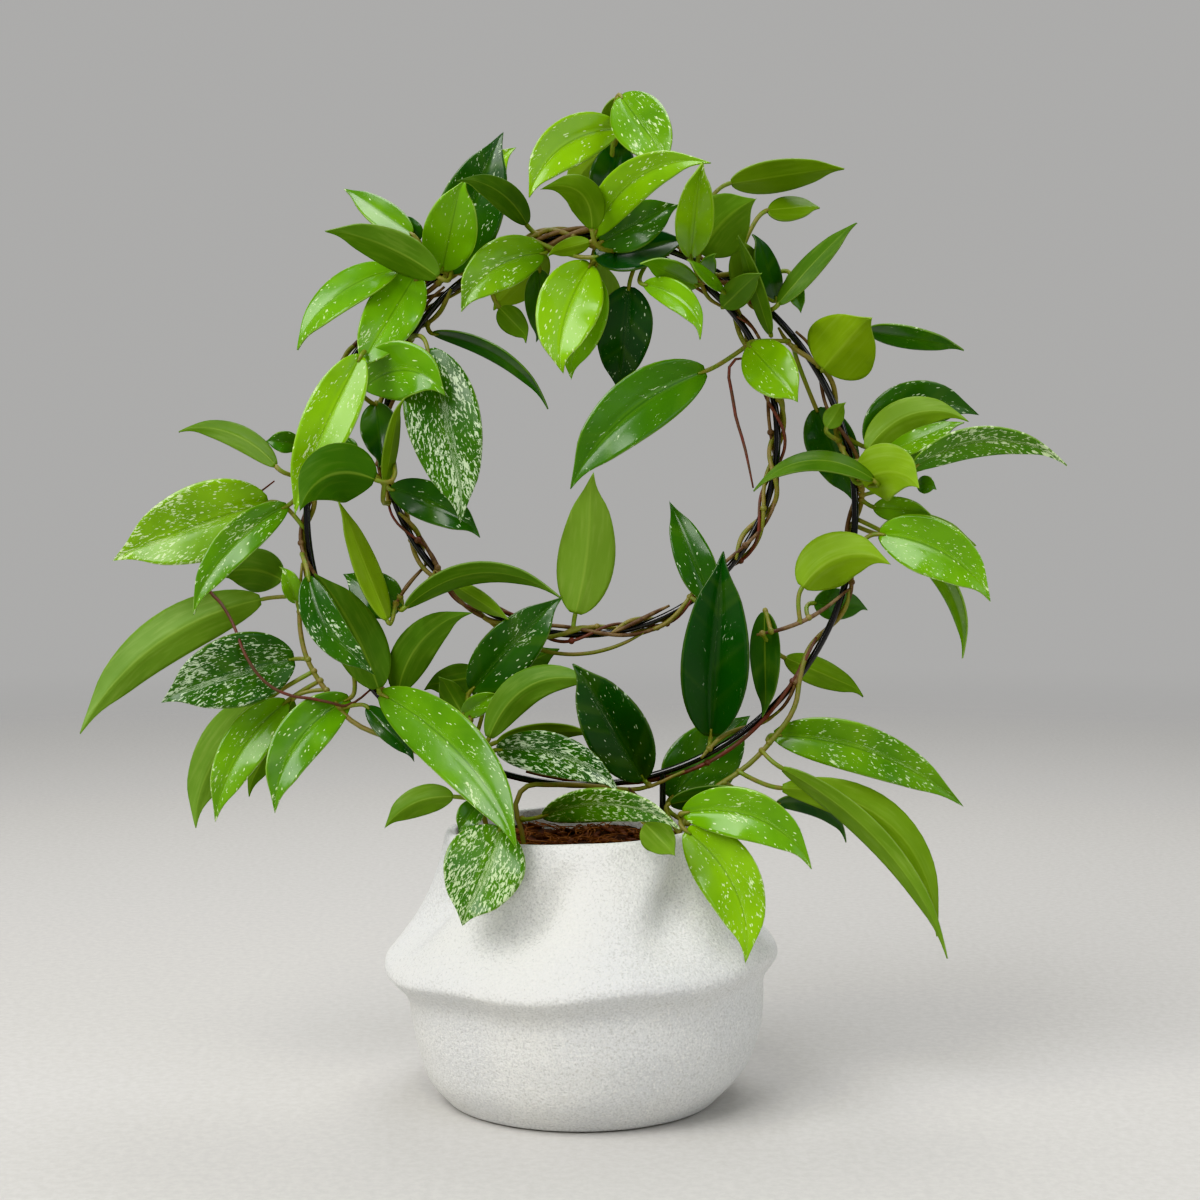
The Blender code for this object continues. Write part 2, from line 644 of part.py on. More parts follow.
def loft(name, rings):
    """A closed skin over rings of points, in millimetres, with split faces and flat ends."""
    bm = bmesh.new()
    rows = [[bm.verts.new(point * MM) for point in ring] for ring in rings]
    count = len(rows[0])
    for low, high in zip(rows, rows[1:]):
        for i in range(count):
            j = (i + 1) % count
            bm.faces.new((low[i], low[j], high[j]))
            bm.faces.new((low[i], high[j], high[i]))
    bm.faces.new(list(reversed(rows[0])))
    bm.faces.new(rows[-1])
    bmesh.ops.triangulate(bm, faces=[face for face in bm.faces if len(face.verts) > 3])
    return to_object(name, bm)


def tube(name, points, radius):
    """A stem: a curve with a bevel, made a mesh."""
    curve = bpy.data.curves.new(name, "CURVE")
    curve.dimensions = "3D"
    curve.bevel_depth = radius * MM
    curve.bevel_resolution = 0
    curve.use_fill_caps = True
    spline = curve.splines.new("POLY")
    spline.points.add(len(points) - 1)
    for spot, point in zip(spline.points, points):
        spot.co = (*(point * MM), 1)
    guide = bpy.data.objects.new(name, curve)
    bpy.context.scene.collection.objects.link(guide)
    mesh = bpy.data.meshes.new_from_object(guide.evaluated_get(bpy.context.evaluated_depsgraph_get()))
    bpy.data.objects.remove(guide)
    bm = bmesh.new()
    bm.from_mesh(mesh)
    bmesh.ops.remove_doubles(bm, verts=bm.verts, dist=1e-6)
    bmesh.ops.recalc_face_normals(bm, faces=bm.faces)
    return to_object(name, bm)


def blade_ring(leaf, t, across):
    """Points round the blade at t: those across its front and then those back across its rear."""
    front = []
    back = []
    for s in across:
        middle = leaf.point(t, s)
        half = leaf.normal(t, s) * ((EDGE_THICK if s else MIDRIB_THICK * (1 - 0.5 * t)) / 2)
        front.append(middle + half)
        back.append(middle - half)
    return front + back[::-1]


def wire_gap(point):
    """How far a point is from the middle of the nearest wire."""
    gaps = []
    for middle, radius in ((HOOP_UP, HOOP_RADIUS), (RING_UP, RING_RADIUS)):
        gaps.append(math.hypot(math.hypot(point.x, point.z - middle) - radius, point.y))
    if point.z < LEG_TOP_UP:
        gaps.append(math.hypot(abs(point.x) - LEG_ACROSS, point.y))
    return min(gaps)


def petiole_roots(leaves, stems):
    """The stem point that each leaf grows from: near it, with no wire on the way, and used once."""
    choices = []
    for stem in stems:
        for low, high in zip(stem, stem[1:]):
            choices += [low.lerp(high, share) for share in (0.2, 0.5, 0.8)]
    roots = []
    for leaf in leaves:
        root = min(choices, key=lambda point: root_cost(leaf, point, roots))
        choices.remove(root)
        roots.append(root)
    return roots


def root_cost(leaf, root, taken):
    base = leaf.point(0.0, 0.0)
    along = (leaf.point(0.1, 0.0) - base).normalized()
    line = petiole_line(leaf, root)[:-1] + [leaf.point(0.1, 0.0)]
    shares = (0.15, 0.3, 0.45, 0.6, 0.8, 1)
    gaps = [wire_gap(low.lerp(high, share)) for low, high in zip(line, line[1:-1]) for share in shares]
    gaps += [wire_gap(line[-2].lerp(line[-1], share)) - share * leaf.half_width(0.1) for share in shares]
    shortfall = max(0.0, PETIOLE_CLEAR - min(gaps))
    crowded = any((root - other).length < ROOT_APART for other in taken)
    return (base - along * 8 - root).length + 40 * (shortfall > 0) + 10 * shortfall + 3 * crowded


def petiole_path(leaf, root, count):
    """Points from the stem to the base of the blade, leaving outwards and ending along the blade."""
    base = leaf.point(0.0, 0.0)
    along = (leaf.point(0.1, 0.0) - base).normalized()
    reach = (base - root).length * 0.35
    lift = min(reach, abs(base.y - root.y) + 1.5)
    outwards = Vector((0, math.copysign(lift, base.y - root.y), 0))
    return interpolate_bezier(root, root + outwards, base - along * reach, base, count)


def petiole_line(leaf, root):
    """The corners of a petiole as it is built, sunk a little into the stem."""
    line = petiole_path(leaf, root, PETIOLE_STEPS + 1)
    if (line[-1] - line[0]).length < SHORT_PETIOLE:
        line = [line[0], line[-1]]
    line[0] = line[0] - (line[1] - line[0]).normalized() * PETIOLE_SINK
    return line


def petiole_ring(middle, along, side, count):
    """A small ring square to the petiole, in the order of a blade ring."""
    side = (side - along * side.dot(along)).normalized()
    face = along.cross(side)
    ring = []
    for i in range(count):
        angle = math.tau * (i + 0.5) / count
        ring.append(middle + (side * math.cos(angle) + face * math.sin(angle)) * PETIOLE_RADIUS)
    return ring


def leaf_mesh(leaf, root):
    """A blade with its petiole, as one closed skin of rings. A narrow blade has no midrib."""
    across = (1, 0, -1) if leaf.wide > NARROW_BLADE else (1, -1)
    line = petiole_line(leaf, root)
    side = (leaf.point(0.08, 1) - leaf.point(0.08, -1)).normalized()
    rings = []
    for low, high in zip(line, line[1:]):
        rings.append(petiole_ring(low, (high - low).normalized(), side, 2 * len(across)))
    length = (leaf.point(1.0, 0.0) - leaf.point(0.0, 0.0)).length
    for t in BLADE_STATIONS if length > SMALL_BLADE else SMALL_BLADE_STATIONS:
        rings.append(blade_ring(leaf, t, across))
    return loft("leaf", rings)


def join(base, others, solver):
    """One Boolean union of an object with a collection of others, which are then removed."""
    collection = bpy.data.collections.new("joining")
    bpy.context.scene.collection.children.link(collection)
    for other in others:
        other.users_collection[0].objects.unlink(other)
        collection.objects.link(other)
    union = base.modifiers.new("union", "BOOLEAN")
    union.operation = "UNION"
    union.operand_type = "COLLECTION"
    union.collection = collection
    union.solver = solver
    bpy.context.view_layer.objects.active = base
    bpy.ops.object.modifier_apply(modifier=union.name)
    for other in others:
        bpy.data.objects.remove(other)
    bpy.data.collections.remove(collection)


def fill_hollows(obj):
    """Drops the skin of each hollow that the union sealed, and any loose scrap."""
    bm = bmesh.new()
    bm.from_mesh(obj.data)
    left = set(bm.faces)
    bodies = []
    while left:
        body = set()
        found = [left.pop()]
        while found:
            face = found.pop()
            body.add(face)
            for edge in face.edges:
                fresh = left.intersection(edge.link_faces)
                left -= fresh
                found.extend(fresh)
        bodies.append(body)
    bodies.sort(key=len)
    spare = [face for body in bodies[:-1] for face in body]
    bmesh.ops.delete(bm, geom=spare, context="FACES")
    bm.to_mesh(obj.data)
    bm.free()


def cut(base, cutter):
    """Takes a cutter out of an object, and then removes the cutter."""
    difference = base.modifiers.new("hole", "BOOLEAN")
    difference.operation = "DIFFERENCE"
    difference.object = cutter
    bpy.context.view_layer.objects.active = base
    bpy.ops.object.modifier_apply(modifier=difference.name)
    bpy.data.objects.remove(cutter)


def rod(name, across, depth, low, high, radius, sides):
    """An upright rod, in millimetres."""
    bpy.ops.mesh.primitive_cylinder_add(
        vertices=sides,
        radius=radius * MM,
        depth=(high - low) * MM,
        location=(across * MM, depth * MM, (low + high) / 2 * MM),
    )
    obj = bpy.context.object
    obj.name = name
    bpy.ops.object.transform_apply(location=True, rotation=True, scale=True)
    return obj


def wire_circle(name, up, radius, steps):
    bpy.ops.mesh.primitive_torus_add(
        major_radius=radius * MM,
        minor_radius=WIRE_RADIUS * MM,
        major_segments=steps,
        minor_segments=WIRE_SIDES,
        location=(0, 0, up * MM),
        rotation=(math.radians(90), 0, 0),
    )
    obj = bpy.context.object
    obj.name = name
    bpy.ops.object.transform_apply(location=True, rotation=True, scale=True)
    return obj


def make_trellis():
    hoop = wire_circle("trellis", HOOP_UP, HOOP_RADIUS, HOOP_STEPS)
    ring = wire_circle("ring", RING_UP, RING_RADIUS, RING_STEPS)
    legs = [
        rod("leg", side * LEG_ACROSS, 0, LEG_FOOT_UP, LEG_TOP_UP, LEG_RADIUS, WIRE_SIDES)
        for side in (-1, 1)
    ]
    join(hoop, [ring, *legs], "EXACT")
    return hoop


def fade(low, high, value):
    """0 below low and 1 above high, with a soft step between."""
    share = min(max((value - low) / (high - low), 0.0), 1.0)
    return share * share * (3 - 2 * share)


def pot_point(up, radius, turn):
    """A point of the pot's outside, with the ridge's waves and the neck's pleats."""
    waves = RIDGE_TILT_HEIGHT * math.cos(turn)
    waves += RIDGE_WAVE_HEIGHT * math.cos(RIDGE_WAVES * (turn - PLEAT_START))
    rise = (1.5 + waves) * math.sin(math.pi * min(up, RIM_UP) / RIM_UP)
    tilt = RIM_TILT_HEIGHT * math.cos(turn) * (up / RIM_UP) ** 4
    pleat = 0.5 + 0.5 * math.cos(RIDGE_WAVES * (turn - PLEAT_START))
    radius -= PLEAT_DEPTH * pleat * fade(POT_RIDGE_UP + 8, POT_RIDGE_UP + 34, up)
    shift = BODY_SHIFT * math.sin(math.pi * min(up, POT_RIDGE_UP) / POT_RIDGE_UP)
    return Vector((shift + radius * math.cos(turn), radius * math.sin(turn), up + rise + tilt))


def plain_ring(up, radius):
    turns = [math.tau * i / POT_TURN_STEPS for i in range(POT_TURN_STEPS)]
    return [Vector((radius * math.cos(turn), radius * math.sin(turn), up)) for turn in turns]


def make_pot():
    turns = [math.tau * i / POT_TURN_STEPS for i in range(POT_TURN_STEPS)]
    rings = [[pot_point(up, radius, turn) for turn in turns] for up, radius in POT_OUTER + POT_LIP]
    rings += [plain_ring(up, radius) for up, radius in POT_INNER]
    return loft("pot", rings)


def make_potting_mix(roots):
    low, floor_radius = POT_INNER[-1]
    rings = [plain_ring(low + MIX_GAP, floor_radius - MIX_GAP)]
    rings += [plain_ring(up, radius - MIX_GAP) for up, radius in reversed(POT_INNER[1:-1])]
    edge = level_radius(POT_INNER[::-1], MIX_TOP_UP) - MIX_GAP
    for share in (1.0, 0.78, 0.5, 0.2):
        ring = plain_ring(MIX_TOP_UP, edge * share)
        for point in ring:
            bumps = math.sin(point.x / 7) + math.cos(point.y / 6 + point.x / 11)
            point.z += MIX_BUMP * bumps / 2 * (share < 1)
        rings.append(ring)
    mix = loft("potting_mix", rings)
    for side in (-1, 1):
        hole = rod("hole", side * LEG_ACROSS, 0, LEG_FOOT_UP - MIX_GAP, RIM_UP, WIRE_RADIUS + MIX_GAP, 8)
        cut(mix, hole)
    for root in roots:
        low = root.z - MIX_GAP
        cut(mix, rod("hole", root.x, root.y, low, RIM_UP, STEM_RADIUS + HOLE_CLEARANCE, 8))
    return mix


def make_spray(spray):
    stems = [tube(spray.name, stem, STEM_RADIUS) for stem in spray.stems]
    stems += [tube(spray.name, tendril, TENDRIL_RADIUS) for tendril in spray.tendrils]
    roots = petiole_roots(spray.leaves, spray.stems)
    leaves = [leaf_mesh(leaf, root) for leaf, root in zip(spray.leaves, roots)]
    join(stems[0], stems[1:] + leaves, "MANIFOLD")
    fill_hollows(stems[0])
    stems[0].name = spray.name
    return stems[0]


def finish(obj, name, colour, roughness, metallic=0.0):
    """Gives an object its material and smooth shading."""
    material = bpy.data.materials.new(name)
    material.use_nodes = True
    shader = material.node_tree.nodes["Principled BSDF"]
    shader.inputs["Base Color"].default_value = (*colour, 1)
    shader.inputs["Roughness"].default_value = roughness
    shader.inputs["Metallic"].default_value = metallic
    obj.data.materials.clear()
    obj.data.materials.append(material)
    obj.data.shade_smooth()
    obj.data.set_sharp_from_angle(angle=math.radians(40))


def main():
    for obj in list(bpy.data.objects):
        bpy.data.objects.remove(obj)
    sprays = make_sprays()
    roots = [spray.stems[0][0] for spray in sprays if spray.name in ROOTED]
    finish(make_pot(), "cream_ceramic", (0.78, 0.74, 0.66), 0.75)
    finish(make_potting_mix(roots), "coir_and_bark", (0.05, 0.03, 0.02), 0.95)
    finish(make_trellis(), "black_wire", (0.01, 0.01, 0.01), 0.35, 0.6)
    for spray in sprays:
        finish(make_spray(spray), "hoya_green", (0.10, 0.20, 0.04), 0.4)


if __name__ == "__main__":
    main()
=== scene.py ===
"""A hoya trained on a double wire ring, in a pleated ceramic pot, dressed for its picture.

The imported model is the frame: every piece here lies where its solid lies. Sizes are in millimetres
until they reach a mesh, which is in metres. +Z is up and the front looks along -Y.

Leaves and loose stems are placed as the plant is seen from the front: (across, up) is a point of the
upright plane through the hoops, as it looks from the eye, and near is how far it stands out of that
plane towards the eye.
"""

import math
import random
from dataclasses import dataclass, replace

import bpy
from mathutils import Matrix, Vector, noise
from mathutils.geometry import interpolate_bezier


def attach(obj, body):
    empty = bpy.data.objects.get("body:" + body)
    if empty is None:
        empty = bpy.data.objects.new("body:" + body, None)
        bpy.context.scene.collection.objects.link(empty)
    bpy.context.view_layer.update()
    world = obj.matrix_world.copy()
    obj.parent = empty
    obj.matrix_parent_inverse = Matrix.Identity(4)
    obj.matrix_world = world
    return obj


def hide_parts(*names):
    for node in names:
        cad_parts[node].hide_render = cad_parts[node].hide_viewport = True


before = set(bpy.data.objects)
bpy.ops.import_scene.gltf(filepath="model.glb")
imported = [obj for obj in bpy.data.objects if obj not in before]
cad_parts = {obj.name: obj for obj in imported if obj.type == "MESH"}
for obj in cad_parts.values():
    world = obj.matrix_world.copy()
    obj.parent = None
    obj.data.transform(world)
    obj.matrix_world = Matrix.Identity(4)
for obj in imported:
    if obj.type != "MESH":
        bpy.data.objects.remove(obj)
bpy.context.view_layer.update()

MM = 0.001
SEAM = 1e-5  # points of one mesh that are nearer than this are the same, in metres
FINE_SEAM = 1e-6  # the same on thin stems

# The eye that the plant is seen from, and its camera
EYE_ACROSS = 9.5
EYE_UP = 300.0
EYE_AWAY = 1050.0
EYE_TILT = math.atan(100 / 2100)
LENS = 63.0
SENSOR_WIDTH = 36.0

# The lights, in metres: name, place, aim, size, power, colour
LIGHTS = [
    ("window", (-1.1, -1.3, 1.9), (0, 0, 0.28), 1.7, 62, (1.0, 0.99, 0.97)),
    ("room", (1.8, -1.2, 1.0), (0, 0, 0.25), 1.6, 12, (0.96, 0.98, 1.0)),
    ("ceiling", (0.3, 0.8, 2.2), (0, 0, 0.3), 1.4, 22, (1.0, 1.0, 1.0)),
]

# The floor, in metres: whole out to one distance, and faded away at the other
FLOOR_RADIUS = 3.0
FLOOR_WHOLE = 0.7
FLOOR_GONE = FLOOR_RADIUS * 0.95

# The trellis: a hoop with a smaller ring inside it, on two legs
ROD_RADIUS = 1.7
HOOP_RADIUS = 137.0
HOOP_UP = 294.0
RING_RADIUS = 98.0
RING_UP = 330.5
ROUNDS = ((HOOP_UP, HOOP_RADIUS), (RING_UP, RING_RADIUS))  # the height of each middle, and the radius
LEG_ACROSS = 41.0
LEG_FOOT_UP = 16.0
LEG_TOP_UP = HOOP_UP - math.sqrt(HOOP_RADIUS**2 - LEG_ACROSS**2) + 0.5
LEG_RADIUS = 1.6
WIRE_STEPS = 144
WIRE_SIDES = 16

# The pot: (height, radius) of its levels, before the folds
POT_OUTER = [
    (0, 0), (0, 40), (0, 64), (4, 71), (16, 81), (34, 87), (47, 88.8), (55, 89.6), (60, 91.6), (64.5, 95.4),
    (69, 98.6), (73.5, 97.8), (78, 94.4), (85, 89), (95, 82), (108, 75.5), (122, 71), (136, 68),
]
POT_LIP = [(137.2, 67.2), (137.6, 65.6), (136.9, 63.9)]
POT_INNER = [(134.5, 63), (122, 64.2), (113, 63.6), (108, 60), (100, 60), (100, 0)]
POT_TURN_STEPS = 168
LEVEL_STEPS = 5
RIM_UP = 136.0
RIM_TILT_HEIGHT = 2.0  # how much higher the rim is at the right than at its middle
BODY_SHIFT = 3.5  # how far the belly stands to the right
RIDGE_UP = 69.0
RIDGE_RISE = 1.5
RIDGE_WAVE_HEIGHT = -1.2
RIDGE_TILT_HEIGHT = 3.8
FOLDS = 7  # waves round the ridge, and pleats round the neck
FOLD_START = math.radians(-52)
PLEAT_DEPTH = 10.5
PLEAT_POWER = 2.4  # the higher, the narrower the pleats
PLEAT_SLANT = math.radians(0.4)  # for each mm up
PLEAT_MIDDLE_UP = 106.0
PLEAT_FOOT = (RIDGE_UP + 5, RIDGE_UP + 34)  # the heights that the pleats deepen between
PLEAT_HEAD = (106, 132)  # the heights that they grow shallow between
PLEAT_HEAD_LOSS = 0.84

# The potting mix
MIX_TOP_UP = 126.0
MIX_BUMP = 2.5
MIX_EDGE = 63.4
MIX_DEEP = 12.0
MIX_TURN_STEPS = 96
MIX_RINGS = 24
MIX_SEED = 5
BARK_CHIPS = 120
CHIP_SIZES = ((4, 10), (2, 5), (1.2, 3))  # the least and the most of each side
CHIP_MARGIN = 7.0
CHIP_SKEW = (0.75, 1.15)  # how far each corner is pulled in or out
CHIP_SLANT = (-0.5, 0.5)  # in radians, about each level axis
CHIP_LIFT = (0, 1.6)
CHIP_WEAR = 0.5
COIR_FIBRES = 220
FIBRE_RADII = (0.22, 0.28, 0.25, 0.15)
FIBRE_REACH = (4, 14)
FIBRE_CURL = (-0.6, 0.6)  # in radians, from each of its points to the next
FIBRE_LIFT = (0.4, 3.4)
FIBRE_MARGIN = 6.0
FIBRE_LIMIT = 60.0

# Stems
STEM_RADIUS = 1.3
TENDRIL_RADIUS = 0.85
KNUCKLE_RADIUS = 1.75
KNUCKLES = slice(4, -3, 7)  # which points of a strand have one
TWINE_RADIUS = 3.8
TWINE_STEP = 8.5
TWINE_PHASE = 0.25  # the share of a turn that a stem starts at: nearest the eye
TURN_STEPS = 8
BOTH_SPREAD = 0.06  # how much wider stems wind for each mm between the two wires
ROOT_DEEP = 16.0  # how deep in the potting mix a stem starts
ROOT_PROUD = 3.0  # and how far above it it stands straight
LOOP_RADIUS = 1.1
LOOP_STEPS = 8
LOOP_START = 242  # in degrees round the ring
LOOP_SPAN = 46
LOOP_HANG = 6.0
LOOP_NEAR = 1.5

# The stalks of the leaves, as their solids are built and as they are drawn
PETIOLE_STEPS = 2
PETIOLE_SINK = 0.5
PETIOLE_REACH = 0.35  # the share of a stalk that runs on along the blade
PETIOLE_LIFT = 1.5
SHORT_PETIOLE = 20.0  # a shorter one is built straight
STALK_POINTS = 7
STALK_SHORT = 12.0  # a shorter one has three points
STALK_RADII = (1.5, 1.15, 1.2, 0.6)  # at the stem, along the stalk, at the blade, inside it

# The blades
WIDEST_AT = 0.39  # the share of the midrib
BASE_POWER = 0.6  # how soon the blade grows wide from its base, and from its tip: less is sooner
TIP_POWER = 0.95
BLADE_THICK = 0.9
BLADE_ALONG = 22
BLADE_ACROSS = 12
BLADE_START = 0.012  # the shares of the midrib where the drawn blade starts and ends
BLADE_END = 0.998
ROWS_EVEN = 0.45  # how evenly its rows are spread: less is closer at both ends
COLUMNS_POWER = 0.85  # and its columns: less is closer at the edges
TIP_NARROWS = (0.74, 0.96)  # where along it the tip grows slimmer than its solid
TIP_NARROWING = 0.4
FOLD_MORE = 0.1  # how much deeper than its solid it is folded
FOLD_MORE_UNDER = 0.2
GROOVE_DEPTH = 0.7
GROOVE_WIDTH = 1.3
EDGE_WAVES = 1.6  # slow waves along each edge
EDGE_RIPPLES = 4.3  # quicker ones over them
RIPPLE_SHARE = 0.4
WAVE_HEIGHTS = (0.8, 2.0)
FULL_WIDTH = 25.0  # narrower blades wave less
TIP_TURNS_FROM = 0.86  # the tip turns down from here
TIP_TURN = 2.0  # for each mm of width
TIP_TURN_MORE = 4.5  # the most that is added by chance
TIP_HOOKS_FROM = 0.8  # and hooks sideways from here
TIP_HOOKS = (10, 70)
TONE_SPREAD = 0.05
FLOW_SCALE = 100.0  # mm of the blade to one unit of its flow map
FLOW_OUT = 1.4
FLOW_BACK = 0.9  # how far the veins run back towards the base, for each mm out
FLOW_APART = 60.0  # keeps the marks of the two halves unlike
FLOW_SHIFTS = (0, 4)
LOOK_SEED = 3

# How leaves and stalks keep clear of each other, the wires and the pot
BLADE_MARGIN = 1.0  # a place this near beside a blade counts as on it
BLADE_CLEAR = 4.0
WIRE_CLEAR = 7.0
WIRE_BAND = 5.5  # what is seen this near a wire lies over it
POT_CLEAR = 4.5
POT_FORWARD = 120  # the most that a leaf comes forward for the pot
SETTLE_ROUNDS = 40
SETTLED = 0.05
PETIOLE_CLEAR = 3.5
ROOT_APART = 3.0
ROOT_BEHIND = 8.0  # a leaf grows best from a place this far behind its base
BLOCKED_COST = 40
SHORTFALL_COST = 10
CROWDED_COST = 3

# The leaves at the back: the other leaf of some pairs
BACK_SHARE = 0.25  # of the leaves that are high and wide enough
BACK_LOWEST = 180.0
BACK_SEED = 8
BACK_WIDE = 22.0
BACK_TURN = (10, 30)
BACK_LEAN = (35, 60)
BACK_NEAR = -10.0
BACK_LENGTH = 0.75
BACK_WIDTH = 0.85

# Greens, from bright to deep, each as a yellower and a bluer cast
UPPER_GREENS = [
    ((0.240, 0.480, 0.006), (0.155, 0.395, 0.006)),
    ((0.049, 0.170, 0.002), (0.029, 0.134, 0.003)),
    ((0.004, 0.050, 0.002), (0.002, 0.036, 0.003)),
]
UNDER_GREENS = [
    ((0.250, 0.405, 0.020), (0.190, 0.330, 0.056)),
    ((0.108, 0.210, 0.006), (0.078, 0.174, 0.020)),
    ((0.026, 0.092, 0.003), (0.014, 0.068, 0.004)),
]

# The skins of stems: two colours each, and a roughness
BARKS = {
    "green_stem": ((0.16, 0.18, 0.032), (0.23, 0.18, 0.060), 0.5),
    "woody_stem": ((0.085, 0.045, 0.028), (0.20, 0.135, 0.070), 0.6),
    "wine_stem": ((0.15, 0.045, 0.035), (0.11, 0.06, 0.04), 0.5),
    "petiole_green": ((0.15, 0.23, 0.026), (0.22, 0.20, 0.05), 0.45),
}


@dataclass
class Leaf:
    """A leaf as it is seen from the front, in millimetres."""

    base: tuple  # across and up
    tip: tuple
    wide: float
    layer: int  # above 0 in front of the wires and the higher the nearer, below 0 behind them
    lean: float = 0.0  # how much nearer the tip is than the base
    bend: float = 0.0  # how far the midrib bows to its left
    edge: float = 0.0  # how much nearer the left edge is, for each mm across
    fold: float = 0.18  # how much the edges rise to the upper side, for each mm across
    arch: float = 5.0  # how far the middle rises to the upper side
    under: bool = False  # the underside is what is seen
    near: float = 0.0  # how near its base is, before the leaves are laid on each other
    tone: float = 0.5  # from bright, at 0, to deep, at 1
    flecks: float = 0.0  # how thickly silver flecks cover the upper side, 0 to 1
    tucked: bool = False  # its stalk keeps low, behind the leaf over it
    raised: float = 0.0  # how much nearer than its solid it is drawn

    @property
    def run(self):
        """How far the tip is from the base, across and up."""
        return self.tip[0] - self.base[0], self.tip[1] - self.base[1]

    @property
    def facing(self):
        """1 where the upper side faces the eye, -1 where the underside does."""
        return -1 if self.under else 1

    def half_width(self, t):
        t = min(max(t, 0.0), 1.0)
        return self.wide / 2 * (t / WIDEST_AT) ** BASE_POWER * ((1 - t) / (1 - WIDEST_AT)) ** TIP_POWER

    def place(self, t, s):
        """Where the blade is seen, t along its midrib and s across it, -1 to 1 with 1 at the left."""
        run = self.run
        length = math.hypot(*run)
        bow = self.bend * 4 * t * (1 - t) / length
        slope = self.bend * 4 * (1 - 2 * t) / length
        left = (-run[1] - slope * run[0], run[0] - slope * run[1])
        out = s * self.half_width(t) / math.hypot(*left)
        across = self.base[0] + run[0] * t - run[1] * bow + left[0] * out
        up = self.base[1] + run[1] * t + run[0] * bow + left[1] * out
        return across, up

    def depth(self, t, s):
        """How near the eye the blade is there."""
        half = self.half_width(t)
        rise = self.arch * 4 * t * (1 - t) + half * self.fold * abs(s)
        return self.near + self.lean * t + half * self.edge * s + self.facing * rise

    def find(self, across, up):
        """The (t, s) of the blade seen at a point, or None where it isn't seen."""
        run = self.run
        length = math.hypot(*run)
        off = (across - self.base[0], up - self.base[1])
        t = (off[0] * run[0] + off[1] * run[1]) / length**2
        if not 0.0 < t < 1.0:
            return None
        beside = (off[1] * run[0] - off[0] * run[1]) / length - self.bend * 4 * t * (1 - t)
        half = self.half_width(t) + BLADE_MARGIN
        return (t, beside / half) if abs(beside) < half else None

    def point(self, t, s):
        return seen(*self.place(t, s), self.depth(t, s))


def seen(across, up, near=0.0):
    """The point, in millimetres, that is seen at (across, up) and stands near out of the hoops' plane."""
    scale = (EYE_AWAY - near) / EYE_AWAY
    return Vector((EYE_ACROSS + (across - EYE_ACROSS) * scale, -near, EYE_UP + (up - EYE_UP) * scale))


def around(radius, turn):
    """The two parts of a line of this length, at a turn in radians."""
    return radius * math.cos(turn), radius * math.sin(turn)


def level_radius(levels, up):
    """The radius at a height, on straight lines between a list of (height, radius) levels."""
    for (low, first), (high, second) in zip(levels, levels[1:]):
        if low <= up <= high:
            return first + (second - first) * (up - low) / (high - low)
    return 0.0


def fade(low, high, value):
    """0 below low and 1 above high, with a soft step between."""
    share = min(max((value - low) / (high - low), 0.0), 1.0)
    return share * share * (3 - 2 * share)


# The leaves, spray by spray

TOP = [
    Leaf((19.5, 483.5), (-26, 450), 24, 2, lean=30, bend=-10, tone=0.2, flecks=0.15),
    Leaf((19.5, 500), (44.5, 466), 28, 2, lean=45, near=-30, tone=0.25, flecks=0.45),
    Leaf((6.5, 430.5), (63.5, 468.5), 21, 3, lean=15, bend=12, tone=0.2, flecks=0.2),
    Leaf((9.5, 427.5), (48.5, 447.5), 23, 2, lean=10, tone=0.7, flecks=0.1),
    Leaf((13, 448.5), (20.5, 480.5), 23, 1, lean=-15, near=-5, tone=0.95),
    Leaf((5.5, 434), (-19, 455), 17.5, 3, lean=25, bend=-10, under=True, tone=0.6),
    Leaf((-27, 436.5), (-60.5, 459.5), 14, 5, lean=10, bend=-5.5, edge=0.8, under=True, tone=0.8),
    Leaf((-17.5, 422.5), (-60, 394), 25, 3, lean=20, bend=-8, tone=0.3, flecks=0.35),
    Leaf((5.5, 417.5), (-11, 363.5), 32, 4, lean=20, bend=-5, tone=0.08, flecks=0.35),
    Leaf((6, 413), (-7, 360.5), 25, 2, lean=-10, tone=0.15, flecks=0.1),
    Leaf((-20.5, 414.5), (-20.5, 378.5), 15, -1, lean=-30, tone=0.8),
    Leaf((-40.5, 395.5), (-25.5, 380), 13, 2, lean=15, under=True, tone=0.6),
    Leaf((4.5, 428), (-17, 422.5), 9, 5, lean=12, under=True, tone=0.45),
    Leaf((24, 406.5), (18, 353.5), 28, 1, lean=-20, tone=0.9, flecks=0.15),
    Leaf((31, 407), (61, 381.5), 14, 4, lean=20, bend=6.5, tone=0.2, flecks=0.1),
    Leaf((6.5, 420.5), (53, 429.5), 20, 1, edge=-0.8, tone=0.9),
]

